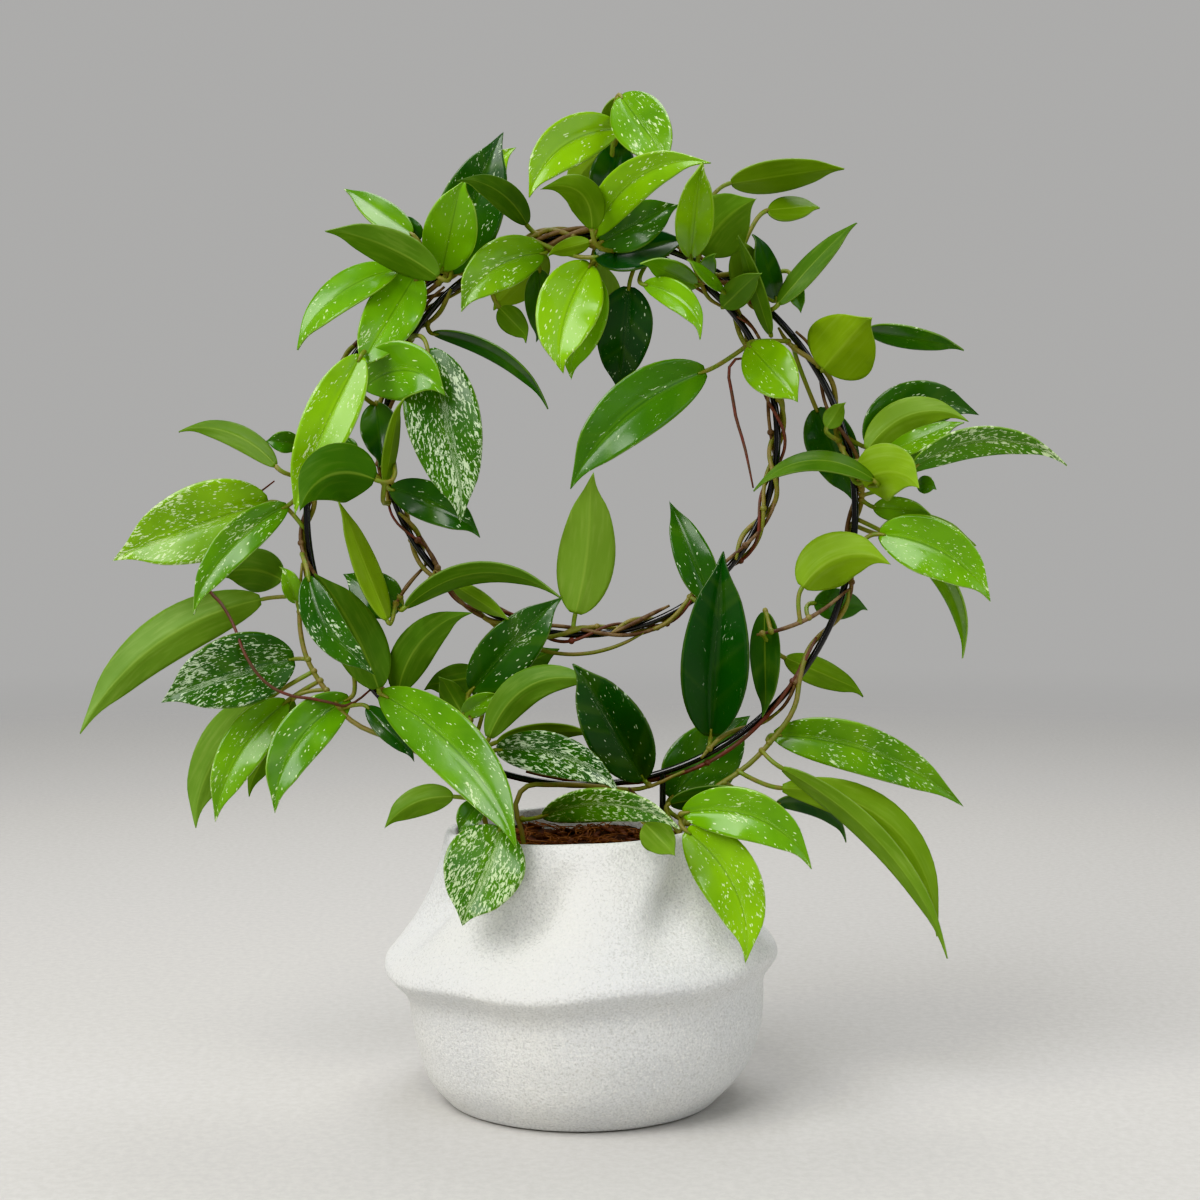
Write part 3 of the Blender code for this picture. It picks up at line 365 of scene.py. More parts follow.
TOP_LEFT = [
    Leaf((-67, 412), (-39.5, 482.5), 33, 2, lean=10, tone=0.85, flecks=0.3),
    Leaf((-68, 438), (-34, 476), 22.5, 1, lean=-20, tone=0.2, flecks=0.3),
    # This leaf and the first of the list are the two halves of one leaf folded along its midrib; this half's
    # light tone is painted sheen.
    Leaf((-69, 413.5), (-59, 459.5), 27, 4, lean=35, tone=0.1, flecks=0.1),
    Leaf((-83.5, 431.5), (-117, 454.5), 14, 2, lean=-20, edge=1.2, tone=0.35, flecks=0.1),
    Leaf((-70.5, 410.5), (-126.5, 434.5), 19, 5, lean=15, bend=-4, edge=-0.8, under=True, tone=0.45),
    Leaf((-90.5, 414.5), (-142, 375.5), 17.5, 4, lean=15, bend=-8, edge=1.0, tone=0.2, flecks=0.1),
    Leaf((-81, 413.5), (-111.5, 364), 27.5, 3, lean=20, tone=0.2, flecks=0.1),
    Leaf((-109, 372.5), (-145, 293.5), 26, 3, lean=5, bend=-2, tucked=True, tone=0.15, flecks=0.3),
    Leaf((-80.5, 428.5), (-88.5, 441.5), 10, 1, lean=-8, tone=0.8),
]

TOP_RIGHT = [
    Leaf((58, 406.5), (30.5, 419.5), 13, 2, lean=12, edge=-1.0, tone=0.4),
    Leaf((54.5, 420), (59.5, 467.5), 19, 4, lean=25, fold=0.7, tone=0.25, flecks=0.05),
    Leaf((59, 422), (86.5, 449.5), 31, 3, lean=40, bend=3, fold=0.5, under=True, tone=0.45),
    Leaf((74, 457), (130.5, 465.5), 16, 1, lean=-10, edge=1.2, under=True, tone=0.55),
    Leaf((92.5, 443.5), (118.5, 445.5), 12, 1, lean=-15, edge=-1.5, under=True, tone=0.6),
    Leaf((98, 397), (136.5, 438), 11, 4, lean=10, bend=1, edge=-1.2, under=True, tone=0.65),
    Leaf((70.5, 396), (89, 413.5), 14, 4, lean=20, under=True, tone=0.5),
    Leaf((70.5, 403.5), (53.5, 420), 6, 5, lean=15, edge=1.2, tone=0.2, flecks=0.1),
    Leaf((97, 399.5), (87.5, 432.5), 12, 2, edge=1.2, tone=0.8),
    Leaf((83.5, 403.5), (79.5, 430.5), 17, 1, lean=-20, under=True, tone=0.25),
    Leaf((94.5, 382), (78.5, 431.5), 8, 3, edge=-1.6, under=True, tone=0.6),
    Leaf((104, 412.5), (110, 393), 9, 2, lean=10, tone=0.5),
    Leaf((60.5, 408.5), (65.5, 423), 9, 4, lean=8, tone=0.5),
]

RIGHT = [
    Leaf((120.5, 365), (143.5, 391.5), 37, 3, lean=40, fold=0.4, under=True, tone=0.2),
    Leaf((142, 384.5), (191, 376), 11, 2, lean=5, edge=1.5, tone=0.6, flecks=0.05),
    Leaf((143.5, 326), (198, 343.5), 28, 1, lean=-20, bend=12, tone=0.7, flecks=0.25),
    Leaf((142.5, 324.5), (192.5, 341.5), 18, 2, lean=10, bend=10, under=True, tone=0.25),
    Leaf((152, 322.5), (190.5, 340), 11, 3, lean=15, edge=-1.0, tone=0.35, flecks=0.45),
    Leaf((165, 315.5), (242.5, 319.5), 15, 3, lean=10, bend=12, edge=0.8, tone=0.4, flecks=0.72),
    Leaf((140, 308.5), (169, 307.5), 29, 4, lean=40, bend=6, under=True, tone=0.2),
    Leaf((168, 308.5), (177.5, 306.5), 9, 2, lean=8, tone=0.4),
    Leaf((146.5, 309.5), (86, 305.5), 10, 6, lean=10, bend=-12, edge=1.5, under=True, tone=0.65),
    Leaf((146, 296.5), (175, 294), 12, 3, lean=20, edge=0.8, tone=0.3, flecks=0.15),
    Leaf((148.5, 283), (206, 251), 29, 4, lean=20, bend=7.5, tone=0.2, flecks=0.3),
    Leaf((163, 277), (192, 221), 9, 1, lean=-10, bend=9, edge=1.5, tone=0.4, flecks=0.05),
    Leaf((117, 346), (137, 299.5), 25, -1, lean=-15, tone=0.9, flecks=0.05),
    Leaf((122.5, 336), (131, 349), 10, 2, lean=8, under=True, tone=0.2),
    Leaf((83.5, 377), (109, 349.5), 26, 3, lean=30, tone=0.25, flecks=0.1),
]

LOWER_RIGHT = [
    Leaf((110.5, 256), (154, 270), 27, 5, lean=25, bend=9, fold=0.45, under=True, tone=0.2),
    Leaf((116.5, 248.5), (143.5, 247), 16, -1, lean=-20, tone=0.8),
    Leaf((92, 244.5), (93, 191), 15, 1, edge=0.9, under=True, tone=0.95),
    Leaf((102, 221), (142.5, 203.5), 14, -1, lean=-15, edge=-0.9, under=True, tone=0.7),
    Leaf((44.5, 149.5), (83.5, 193), 35, -1, lean=-25, tone=0.75, flecks=0.3),
    Leaf((44.5, 147.5), (83.5, 155), 11, 1, lean=10, edge=1.0, under=True, tone=0.9),
    Leaf((50.5, 142.5), (117, 116.5), 26, 4, lean=20, bend=11.5, near=20, tone=0.2, flecks=0.25),
    Leaf((52, 134.5), (84, 67), 31, 3, lean=20, bend=10, near=55, fold=0.08, arch=3, tone=0.2, flecks=0.35),
    Leaf((95.5, 182), (192.5, 146.5), 25, 4, lean=10, bend=9, tone=0.45, flecks=0.45),
    Leaf((100, 166), (186.5, 70), 12, 5, lean=25, bend=12, edge=1.0, under=True, tone=0.3),
    Leaf((99.5, 155.5), (180.5, 81), 20, 3, lean=5, bend=24, under=True, tone=0.35),
    Leaf((98, 147.5), (134.5, 130), 9, 1, lean=-15, bend=7, edge=1.2, tone=0.8),
]

BOTTOM = [
    Leaf((32, 159), (-2.5, 219), 32, 4, lean=15, fold=0.5, tone=0.85, flecks=0.2),
    Leaf((-20, 141), (50, 136.5), 17, 4, lean=15, bend=8, edge=1.0, near=25, tone=0.5, flecks=0.85),
    Leaf((32, 137.5), (47.5, 121.5), 17, 3, lean=15, near=48, under=True, tone=0.3),
]

BOTTOM_LEFT = [
    Leaf((-55.5, 204), (-10.5, 252.5), 27, 2, lean=15, tone=0.8, flecks=0.15),
    Leaf((-46.5, 180), (10.5, 208), 18, 3, lean=20, bend=15, under=True, tone=0.35),
    Leaf((-43, 174.5), (20, 155), 22, 5, lean=20, bend=6.5, fold=0.1, tone=0.78, flecks=0.85),
    Leaf((-42.5, 178.5), (7, 183), 9, 2, lean=15, bend=3, edge=1.0, under=True, tone=0.6),
    Leaf((-59.5, 192.5), (-70.5, 212), 13, 2, lean=10, under=True, tone=0.5),
    Leaf((-59.5, 192.5), (-41.5, 203.5), 11, 2, lean=15, tone=0.3, flecks=0.1),
    Leaf((-50, 212), (-79, 207), 16, -1, lean=-12, under=True, tone=0.7),
]

BOTTOM_RIGHT = [
    Leaf((65, 180.5), (70.5, 274.5), 34, 4, lean=25, fold=0.6, tone=0.97, flecks=0.03),
]

LOWER_LEFT = [
    Leaf((-149.5, 260), (-181, 262.5), 22, 1, lean=-20, bend=-4, under=True, tone=0.6),
    Leaf((-142, 248.5), (-148.5, 267.5), 10, 2, lean=5, tone=0.4, flecks=0.5),
    Leaf((-159, 250.5), (-252, 183), 25, 3, lean=10, bend=-13, under=True, tone=0.25),
    Leaf((-143, 220.5), (-211, 199.5), 37, 4, lean=30, bend=-3, tone=0.75, flecks=0.7),
    Leaf((-156, 201), (-195.5, 136), 24, 1, lean=-10, bend=-8, under=True, tone=0.3),
    Leaf((-147, 199.5), (-184.5, 138.5), 23, 3, lean=20, bend=-7, tone=0.25, flecks=0.25),
    Leaf((-144.5, 200), (-169, 152), 15, -1, lean=-10, under=True, tone=0.75),
    Leaf((-115.5, 201), (-154.5, 143), 25, 4, lean=30, bend=-10, tone=0.25, flecks=0.2),
    Leaf((-136.5, 262.5), (-101.5, 214), 19, 5, lean=10, bend=-8, tone=0.8, flecks=0.5),
    Leaf((-101.5, 205), (-132.5, 264), 26, 4, lean=10, bend=-3, under=True, tone=0.6),
    Leaf((-92, 203), (-56, 245), 20, 3, lean=25, bend=8, under=True, tone=0.6),
    Leaf((-101.5, 203.5), (-32, 124.5), 31, 6, lean=25, bend=10, fold=0.1, tone=0.3, flecks=0.25),
    Leaf((-107.5, 196.5), (-82.5, 170), 12, 2, lean=10, tone=0.8, flecks=0.1),
    Leaf((-40.5, 136), (-61, 86), 41, 4, lean=20, near=66, fold=0.08, arch=3, tone=0.45, flecks=0.85),
    Leaf((-51.5, 148.5), (-62, 133), 13, 3, lean=10, near=40, tone=0.5, flecks=0.5),
    Leaf((-64, 151), (-99, 135.5), 15, 3, lean=10, bend=-5, near=30, under=True, tone=0.35),
]

LEFT = [
    Leaf((-152, 316.5), (-200, 335.5), 12, 2, lean=-10, bend=-7, edge=0.8, under=True, tone=0.6),
    Leaf((-140.5, 328.5), (-157.5, 329.5), 11, 1, lean=10, tone=0.4, flecks=0.1),
    Leaf((-155, 299), (-234.5, 270.5), 39, 2, lean=10, bend=-2, tone=0.25, flecks=0.6),
    Leaf((-146, 297.5), (-195.5, 243.5), 19, 4, lean=25, bend=-7, tone=0.35, flecks=0.4),
]

RING_TOP_LEFT = [
    Leaf((-74.5, 383), (-15.5, 346.5), 8, 5, lean=20, bend=8, edge=1.2, tone=0.85),
]

RING_LEFT = [
    Leaf((-108.5, 355.5), (-67.5, 353.5), 30, 2, lean=30, bend=10, raised=18, tone=0.3, flecks=0.1),
    Leaf((-76.5, 376), (-57.5, 289), 37.5, 3, lean=10, fold=0.1, tone=0.75, flecks=0.8),
    Leaf((-95.5, 305.5), (-49.5, 283), 20, 2, lean=25, bend=3, tone=0.8, flecks=0.1),
    Leaf((-102, 348.5), (-98.5, 316.5), 19, 1, lean=25, tone=0.85),
    Leaf((-98, 308.5), (-90.5, 351), 7, 4, lean=15, edge=1.5, under=True, tone=0.5),
    Leaf((-102.5, 310), (-141, 296), 30, 3, lean=30, bend=-10, under=True, tone=0.95),
    Leaf((-111.5, 321), (-128, 328.5), 15, -1, lean=-20, tone=0.8, flecks=0.05),
]

RING_LOWER_LEFT = [
    Leaf((-97, 239.5), (-120.5, 299.5), 12.5, 2, edge=1.2, under=True, tone=0.3),
    Leaf((-90.5, 245), (-118.5, 263.5), 22.5, 1, lean=-10, tone=0.75, flecks=0.4),
]

RING_BOTTOM_LEFT = [
    Leaf((-88.5, 246), (-10, 252), 11, 4, lean=20, bend=15, edge=1.5, under=True, tone=0.6),
    Leaf((-64.5, 258.5), (-36, 240.5), 9, 2, lean=8, edge=1.0, under=True, tone=0.4),
]

RING_BOTTOM = [
    Leaf((-3, 242.5), (4, 314), 28.5, 3, lean=20, bend=-3, under=True, tone=0.05),
]

RING_LOWER_RIGHT = [
    Leaf((65.5, 248.5), (44.5, 299.5), 19, 2, lean=-15, tone=0.8, flecks=0.1),
]

RING_UPPER_RIGHT = [
    Leaf((63, 364.5), (-6, 306), 31, 3, lean=20, bend=-9, tone=0.6, flecks=0.05),
]


# The stems

def round_point(middle_up, radius, angle, near):
    """A point of a circle in the hoops' plane, at an angle in degrees from its right side."""
    across, up = around(radius, math.radians(angle))
    return Vector((across, -near, middle_up + up))


def hoop_point(angle, out=0.0, near=0.0):
    """The point of the hoop at an angle, out from its middle and near the eye by so much."""
    return round_point(HOOP_UP, HOOP_RADIUS + out, angle, near)


def ring_point(angle, out=0.0, near=0.0):
    return round_point(RING_UP, RING_RADIUS + out, angle, near)


def both_point(angle, out=0.0, near=0.0):
    """The same round the hoop and the ring together, where they lie side by side at the top."""
    outer = hoop_point(angle)
    side, down = around(RING_UP - HOOP_UP, math.radians(angle))
    gap = HOOP_RADIUS - down - math.sqrt(RING_RADIUS**2 - side**2)
    reach = out * (1 + gap / 2 / TWINE_RADIUS)
    away = (outer - Vector((0, 0, HOOP_UP))).normalized()
    return outer + away * (reach - gap / 2) - Vector((0, near * (1 + BOTH_SPREAD * gap), 0))


def twine(along, start, end, turns, phase=TWINE_PHASE):
    """A stem that winds round a wire from one angle to another, for so many turns."""
    length = abs(math.radians(end - start)) * (along(start) - along(start + 180)).length / 2
    steps = max(round(length / TWINE_STEP), round(TURN_STEPS * abs(turns)))
    points = []
    for i in range(steps + 1):
        wind = math.tau * (phase + turns * i / steps)
        points.append(along(start + (end - start) * i / steps, *around(TWINE_RADIUS, wind)))
    return points


def strands(along, start, end, *turns):
    """The strands of one stretch of wire, each with its own number of turns."""
    return [twine(along, start, end, turn) for turn in turns]


def loose(*route):
    """A stem through points as they are seen: across, up and near."""
    return [seen(*point) for point in route]


def rooted(across, depth, *route):
    """A stem that comes straight up out of the potting mix before its route."""
    foot = [Vector((across, depth, up)) for up in (MIX_TOP_UP - ROOT_DEEP, MIX_TOP_UP + ROOT_PROUD)]
    return foot + loose(*route)


def grown(stem, share, *route):
    """A shoot that leaves another stem at a share of its length."""
    return [stem[round(share * (len(stem) - 1))]] + loose(*route)


def top_stems():
    strand = twine(both_point, 71, 112, 1.3)
    return [strand, grown(strand, 0.385, (7, 436, -7), (11, 448, -11), (16, 470, -15), (15.5, 490, -20))]


def top_left_stems():
    found = strands(hoop_point, 114, 150, 2.0, 0.8)
    return found + [grown(found[0], 0.47, (-86, 404, 7), (-79, 413, 8), (-75, 424, 9))]


def lower_right_stems():
    vine = rooted(47, -14, (59.5, 148.5, 12), (84.5, 167.5, 9), (97, 181, 8), (107, 196, 7))
    low_shoot = [vine[2]] + loose((54, 146, 30), (51, 141, 48))
    vine += twine(hoop_point, -37, -16, 0.9)
    return [vine, grown(vine, 1.0, (117, 242.5, 8), (102.5, 236, 8), (88, 232.5, 6)), low_shoot]


def bottom_stems():
    vine = rooted(-28, -18, (-30.5, 153.5, 14), (-13, 157, 9), (10, 156, 8), (29.5, 155, 8), (52, 164, 7))
    return [vine, loose((24, 155.3, 8), (29, 149.5, 26), (31, 143, 42))]


def bottom_left_stems():
    vine = rooted(-37, -12, (-38, 158, 10)) + twine(hoop_point, 252, 236, 0.8)
    return [vine, grown(vine, 0.56, (-54, 180, 9), (-56, 192, 9))]


def lower_left_stems():
    vine = rooted(
        -46, -8, (-52, 148, 12), (-62, 160, 10), (-76, 170, 9), (-94.5, 179.5, 8), (-115.5, 189.5, 6),
        (-125.5, 201.5, 4), (-136, 217.5, 2), (-140, 230.5, 0), (-141, 247.5, 0), (-139.5, 268.5, 2),
    )
    strand = [vine[5]] + loose((-88, 184, 8)) + twine(hoop_point, 229, 188, 1.8)
    return [vine, strand, [vine[2]] + loose((-47, 150, 34), (-41, 144, 58))]


def left_tendril(strand):
    return grown(
        strand, 0.3, (-118, 197, 6), (-126, 198.5, 11), (-135.5, 200.5, 14), (-145.5, 202, 17),
        (-158, 208.5, 19), (-168, 222, 20), (-174.5, 238.5, 14), (-180, 248, 6), (-186.5, 257, -4),
        (-184, 280, -8), (-170, 296, -7), (-153, 309.5, -6),
    )


def ring_lower_left_stems():
    strand = twine(ring_point, 202, 219, 0.6)
    return [strand, grown(strand, 1.0, (-87, 257, 3), (-94, 246, 2))]


def ring_bottom_left_stems():
    found = strands(ring_point, 222, 261, 1.4, 0.5)
    return found + [grown(found[0], 0.0, (-77, 256, 8), (-84, 249, 7))]


def right_tendril(strand):
    return grown(strand, 1.0, (77, 370, 8), (76, 348.5, 9), (82, 325, 8), (86, 306, 7))


@dataclass
class Spray:
    """A leafy stretch of vine: its leaves, its stems and its thin tendrils."""

    name: str
    leaves: list
    stems: list
    tendrils: tuple = ()


def partners(leaves, rng):
    """Leaves at the back: the other leaf of some pairs, which leans away behind its partner."""
    found = []
    for leaf in leaves:
        if min(leaf.base[1], leaf.tip[1]) < BACK_LOWEST or leaf.wide < BACK_WIDE or leaf.layer < 1:
            continue
        if rng.random() > BACK_SHARE:
            continue
        turn = math.radians(rng.choice((-1, 1)) * rng.uniform(*BACK_TURN))
        run = Vector(leaf.run) * BACK_LENGTH
        run.rotate(Matrix.Rotation(turn, 2))
        tip = (leaf.base[0] + run.x, leaf.base[1] + run.y)
        lean = -rng.uniform(*BACK_LEAN)
        found.append(replace(leaf, tip=tip, wide=leaf.wide * BACK_WIDTH, layer=-2, lean=lean, bend=0,
                             edge=0, under=True, near=BACK_NEAR))
    return found


def make_sprays():
    lower_left = lower_left_stems()
    ring_right = strands(ring_point, -38, 19, 2.1)
    sprays = [
        Spray("vine_top", TOP, top_stems()),
        Spray("vine_top_left", TOP_LEFT, top_left_stems()),
        Spray("vine_top_right", TOP_RIGHT, strands(hoop_point, 47, 68, 1.75, 0.75)),
        Spray("vine_right", RIGHT, strands(hoop_point, -14, 43, 2.4)),
        Spray("vine_lower_right", LOWER_RIGHT, lower_right_stems()),
        Spray("vine_bottom", BOTTOM, bottom_stems()),
        Spray("vine_bottom_right", BOTTOM_RIGHT, strands(hoop_point, 296, 315, 0.8)),
        Spray("vine_bottom_left", BOTTOM_LEFT, bottom_left_stems()),
        Spray("vine_lower_left", LOWER_LEFT, lower_left, (left_tendril(lower_left[1]),)),
        Spray("vine_left", LEFT, strands(hoop_point, 153, 184, 1.6)),
        Spray("ring_vine_top_left", RING_TOP_LEFT, strands(ring_point, 131, 146, 0.5)),
        Spray("ring_vine_left", RING_LEFT, strands(ring_point, 149, 199, 1.75)),
        Spray("ring_vine_lower_left", RING_LOWER_LEFT, ring_lower_left_stems()),
        Spray("ring_vine_bottom_left", RING_BOTTOM_LEFT, ring_bottom_left_stems()),
        Spray("ring_vine_bottom", RING_BOTTOM, strands(ring_point, 264, 276, 0.45)),
        Spray("ring_vine_bottom_right", [], strands(ring_point, 279, 298, 0.7, 0.3)),
        Spray("ring_vine_lower_right", RING_LOWER_RIGHT, strands(ring_point, 301, 319, 0.5)),
        Spray("ring_vine_right", [], ring_right, (right_tendril(ring_right[0]),)),
        Spray("ring_vine_upper_right", RING_UPPER_RIGHT, strands(ring_point, 22, 42, 0.6)),
    ]
    rng = random.Random(BACK_SEED)
    for spray in sprays:
        spray.leaves = spray.leaves + partners(spray.leaves, rng)
    leaves = [leaf for spray in sprays for leaf in spray.leaves]
    settle(leaves)
    for leaf in leaves:
        leaf.near += leaf.raised
    return sprays


# How the leaves lie on each other

def samples_of(leaf):
    """Places all over a leaf: across, up, how near, and how far along it."""
    found = []
    for t in (0.05, 0.2, 0.35, 0.5, 0.65, 0.8, 0.95):
        for s in (-1, -0.5, 0, 0.5, 1):
            found.append((*leaf.place(t, s), leaf.depth(t, s), t))
    return found


def box_of(samples):
    across = [sample[0] for sample in samples]
    up = [sample[1] for sample in samples]
    return min(across), max(across), min(up), max(up)


def boxes_meet(a, b):
    return a[0] < b[1] and b[0] < a[1] and a[2] < b[3] and b[2] < a[3]


def over_a_wire(across, up):
    for middle_up, radius in ROUNDS:
        if abs(math.hypot(across, up - middle_up) - radius) < WIRE_BAND:
            return True
    return abs(abs(across) - LEG_ACROSS) < WIRE_BAND and up < LEG_TOP_UP


def pot_shortfall(across, up, depth):
    """How much nearer a place on a leaf must come to be clear of the pot, to a millimetre."""
    for moved in range(POT_FORWARD):
        point = seen(across, up, depth + moved)
        radius = level_radius(POT_OUTER, min(max(point.z, 0.0), RIM_UP)) + POT_CLEAR
        if point.z > RIM_UP + POT_CLEAR or math.hypot(point.x, point.y) > radius:
            return float(moved)
    return float(POT_FORWARD)


def worst_shortfall(leaf, placed, way):
    """The most that the leaf has to move to be clear of what lies behind it, and where along it."""
    samples = samples_of(leaf)
    box = box_of(samples)
    worst = (0.0, 0.0)
    for across, up, depth, t in samples:
        if over_a_wire(across, up):
            worst = max(worst, (WIRE_CLEAR - way * depth, t))
        if way > 0 and up < LEG_TOP_UP:
            worst = max(worst, (pot_shortfall(across, up, depth), t))
    for other, its_samples, its_box in placed:
        if other.layer * way < 0 or not boxes_meet(box, its_box):
            continue
        for across, up, depth, t in samples:
            there = other.find(across, up)
            if there:
                worst = max(worst, (BLADE_CLEAR - way * (depth - other.depth(*there)), t))
        for across, up, depth, _ in its_samples:
            here = leaf.find(across, up)
            if here:
                worst = max(worst, (BLADE_CLEAR - way * (leaf.depth(*here) - depth), here[0]))
    return worst


def settle(leaves):
    """Lays the leaves on the wires, the pot and each other, from the wires outwards."""
    front = sorted((leaf for leaf in leaves if leaf.layer > 0), key=lambda leaf: leaf.layer)
    back = sorted((leaf for leaf in leaves if leaf.layer < 0), key=lambda leaf: -leaf.layer)
    placed = []
    for leaf in front + back:
        way = 1 if leaf.layer > 0 else -1
        for _ in range(SETTLE_ROUNDS):
            short, t = worst_shortfall(leaf, placed, way)
            if short < SETTLED:
                break
            if t < 0.5:
                leaf.near += way * short
            else:
                leaf.lean += way * short / t
        samples = samples_of(leaf)
        placed.append((leaf, samples, box_of(samples)))


# How leaves grow from stems

def wire_gap(point):
    """How far a point is from the middle of the nearest wire."""
    gaps = []
    for middle_up, radius in ROUNDS:
        gaps.append(math.hypot(math.hypot(point.x, point.z - middle_up) - radius, point.y))
    if point.z < LEG_TOP_UP:
        gaps.append(math.hypot(abs(point.x) - LEG_ACROSS, point.y))
    return min(gaps)


def blade_start(leaf):
    """The base of the blade, a point a little way along it, and the direction between them."""
    base, inner = leaf.point(0.0, 0.0), leaf.point(0.1, 0.0)
    return base, inner, (inner - base).normalized()


def petiole_roots(leaves, stems):
    """The stem point that each leaf grows from: near it, with no wire on the way, and used once."""
    choices = []
    for stem in stems:
        for low, high in zip(stem, stem[1:]):
            choices += [low.lerp(high, share) for share in (0.2, 0.5, 0.8)]
    roots = []
    for leaf in leaves:
        root = min(choices, key=lambda point: root_cost(leaf, point, roots))
        choices.remove(root)
        roots.append(root)
    return roots


def root_cost(leaf, root, taken):
    """How poor a place on a stem is for a leaf to grow from."""
    base, inner, along = blade_start(leaf)
    line = petiole_line(leaf, root)[:-1] + [inner]
    shares = (0.15, 0.3, 0.45, 0.6, 0.8, 1)
    gaps = [wire_gap(low.lerp(high, share)) for low, high in zip(line, line[1:-1]) for share in shares]
    gaps += [wire_gap(line[-2].lerp(line[-1], share)) - share * leaf.half_width(0.1) for share in shares]
    shortfall = max(0.0, PETIOLE_CLEAR - min(gaps))
    crowded = any((root - other).length < ROOT_APART for other in taken)
    cost = (base - along * ROOT_BEHIND - root).length
    return cost + BLOCKED_COST * (shortfall > 0) + SHORTFALL_COST * shortfall + CROWDED_COST * crowded


def petiole_path(leaf, root, count):
    """Points from the stem to the base of the blade, leaving outwards and ending along the blade."""
    base, _, along = blade_start(leaf)
    reach = (base - root).length * PETIOLE_REACH
    lift = min(reach, abs(base.y - root.y) + PETIOLE_LIFT)
    outwards = Vector((0, math.copysign(lift, base.y - root.y), 0))
    return interpolate_bezier(root, root + outwards, base - along * reach, base, count)


def petiole_line(leaf, root):
    """The corners of a petiole as its solid is built, sunk a little into the stem."""
    line = petiole_path(leaf, root, PETIOLE_STEPS + 1)
    if (line[-1] - line[0]).length < SHORT_PETIOLE:
        line = [line[0], line[-1]]
    line[0] = line[0] - (line[1] - line[0]).normalized() * PETIOLE_SINK
    return line


# Meshes

def start_piece():
    """Leaves nothing selected, so that what is added next is shaped alone."""
    bpy.ops.object.select_all(action="DESELECT")


def grid(columns, rows):
    """A flat grid from -1 to 1 both ways, to be laid on a shape."""
    start_piece()
    bpy.ops.mesh.primitive_grid_add(x_subdivisions=columns, y_subdivisions=rows, size=2)
    return bpy.context.object


def in_scene(name, data):
    """A new object in the scene."""
    obj = bpy.data.objects.new(name, data)
    bpy.context.scene.collection.objects.link(obj)
    return obj


def select(obj):
    start_piece()
    obj.select_set(True)
    bpy.context.view_layer.objects.active = obj


def apply_all(obj):
    """Applies the object's modifiers, in order."""
    select(obj)
    for modifier in list(obj.modifiers):
        bpy.ops.object.modifier_apply(modifier=modifier.name)


def weld(obj, gap):
    """Closes the seams of a mesh and turns its faces outwards."""
    select(obj)
    bpy.ops.object.mode_set(mode="EDIT")
    bpy.ops.mesh.select_all(action="SELECT")
    bpy.ops.mesh.remove_doubles(threshold=gap)
    bpy.ops.mesh.normals_make_consistent(inside=False)
    bpy.ops.object.mode_set(mode="OBJECT")


def dress(obj, name, material):
    """Smooths a mesh, names it and gives it its finish."""
    select(obj)
    bpy.ops.object.shade_smooth()
    obj.name = name
    obj.data.materials.append(material)
    return obj


def join_pieces(name, pieces):
    """Makes several objects one, named afresh."""
    start_piece()
    for piece in pieces:
        piece.select_set(True)
    bpy.context.view_layer.objects.active = pieces[0]
    bpy.ops.object.join()
    pieces[0].name = name
    pieces[0].data.name = name
    return pieces[0]


def put(obj, node):
    """Sets a finished piece on the frame, in the place of its solid where it has one."""
    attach(obj, "root")
    if node:
        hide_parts(node)


def cane(name, points, radii, material, roundness=1):
    """A round stem along smooth points, with a radius at each of them."""
    curve = bpy.data.curves.new(name, "CURVE")
    curve.dimensions = "3D"
    curve.bevel_depth = MM
    curve.bevel_resolution = roundness
    curve.resolution_u = 4
    curve.use_fill_caps = True
    spline = curve.splines.new("BEZIER")
    spline.bezier_points.add(len(points) - 1)
    for knot, point, radius in zip(spline.bezier_points, points, radii):
        knot.co = point * MM
        knot.handle_left_type = "AUTO"
        knot.handle_right_type = "AUTO"
        knot.radius = radius
    obj = in_scene(name, curve)
    select(obj)
    bpy.ops.object.convert(target="MESH")
    weld(obj, FINE_SEAM)
    return dress(obj, name, material)


# Leaves

def blade_extra(leaf, t, s, waves):
    """How far the fine blade stands off the plain one: its groove, waves, turned tip and deeper fold."""
    half = leaf.half_width(t)
    groove = -GROOVE_DEPTH * math.exp(-((s * half / GROOVE_WIDTH) ** 2)) * (1 - t) ** 0.3
    height, first, second = waves
    phase = first if s > 0 else second
    wave = s * s * math.sin(math.tau * (EDGE_WAVES * t + phase))
    wave += RIPPLE_SHARE * abs(s) ** 3 * math.sin(math.tau * (EDGE_RIPPLES * t + 2 * phase))
    wave *= height * math.sin(math.pi * t)
    tip = -(TIP_TURN + TIP_TURN_MORE * first) * leaf.wide * max(0.0, t - TIP_TURNS_FROM) ** 2
    fold = half * (FOLD_MORE_UNDER if leaf.under else FOLD_MORE) * (abs(s) - 0.5)
    return groove + wave + tip + fold


def lay_blade(mesh, leaf, waves, hook):
    """Lays a flat grid on the leaf's shape. Gives each point's way out from the midrib and along it."""
    run = leaf.run
    length = math.hypot(*run)
    places = []
    for vertex in mesh.vertices:
        share = (vertex.co.y + 1) / 2
        even = 0.5 - 0.5 * math.cos(math.pi * share)
        t = BLADE_START + (BLADE_END - BLADE_START) * (ROWS_EVEN * share + (1 - ROWS_EVEN) * even)
        s = -math.copysign(abs(vertex.co.x) ** COLUMNS_POWER, vertex.co.x)
        s *= 1 - TIP_NARROWING * fade(*TIP_NARROWS, t)
        across, up = leaf.place(t, s)
        sway = hook * max(0.0, t - TIP_HOOKS_FROM) ** 2 / length
        depth = leaf.depth(t, s) + leaf.facing * blade_extra(leaf, t, s, waves)
        vertex.co = seen(across - run[1] * sway, up + run[0] * sway, depth) * MM
        places.append((s * leaf.half_width(t), t * length))
    return places


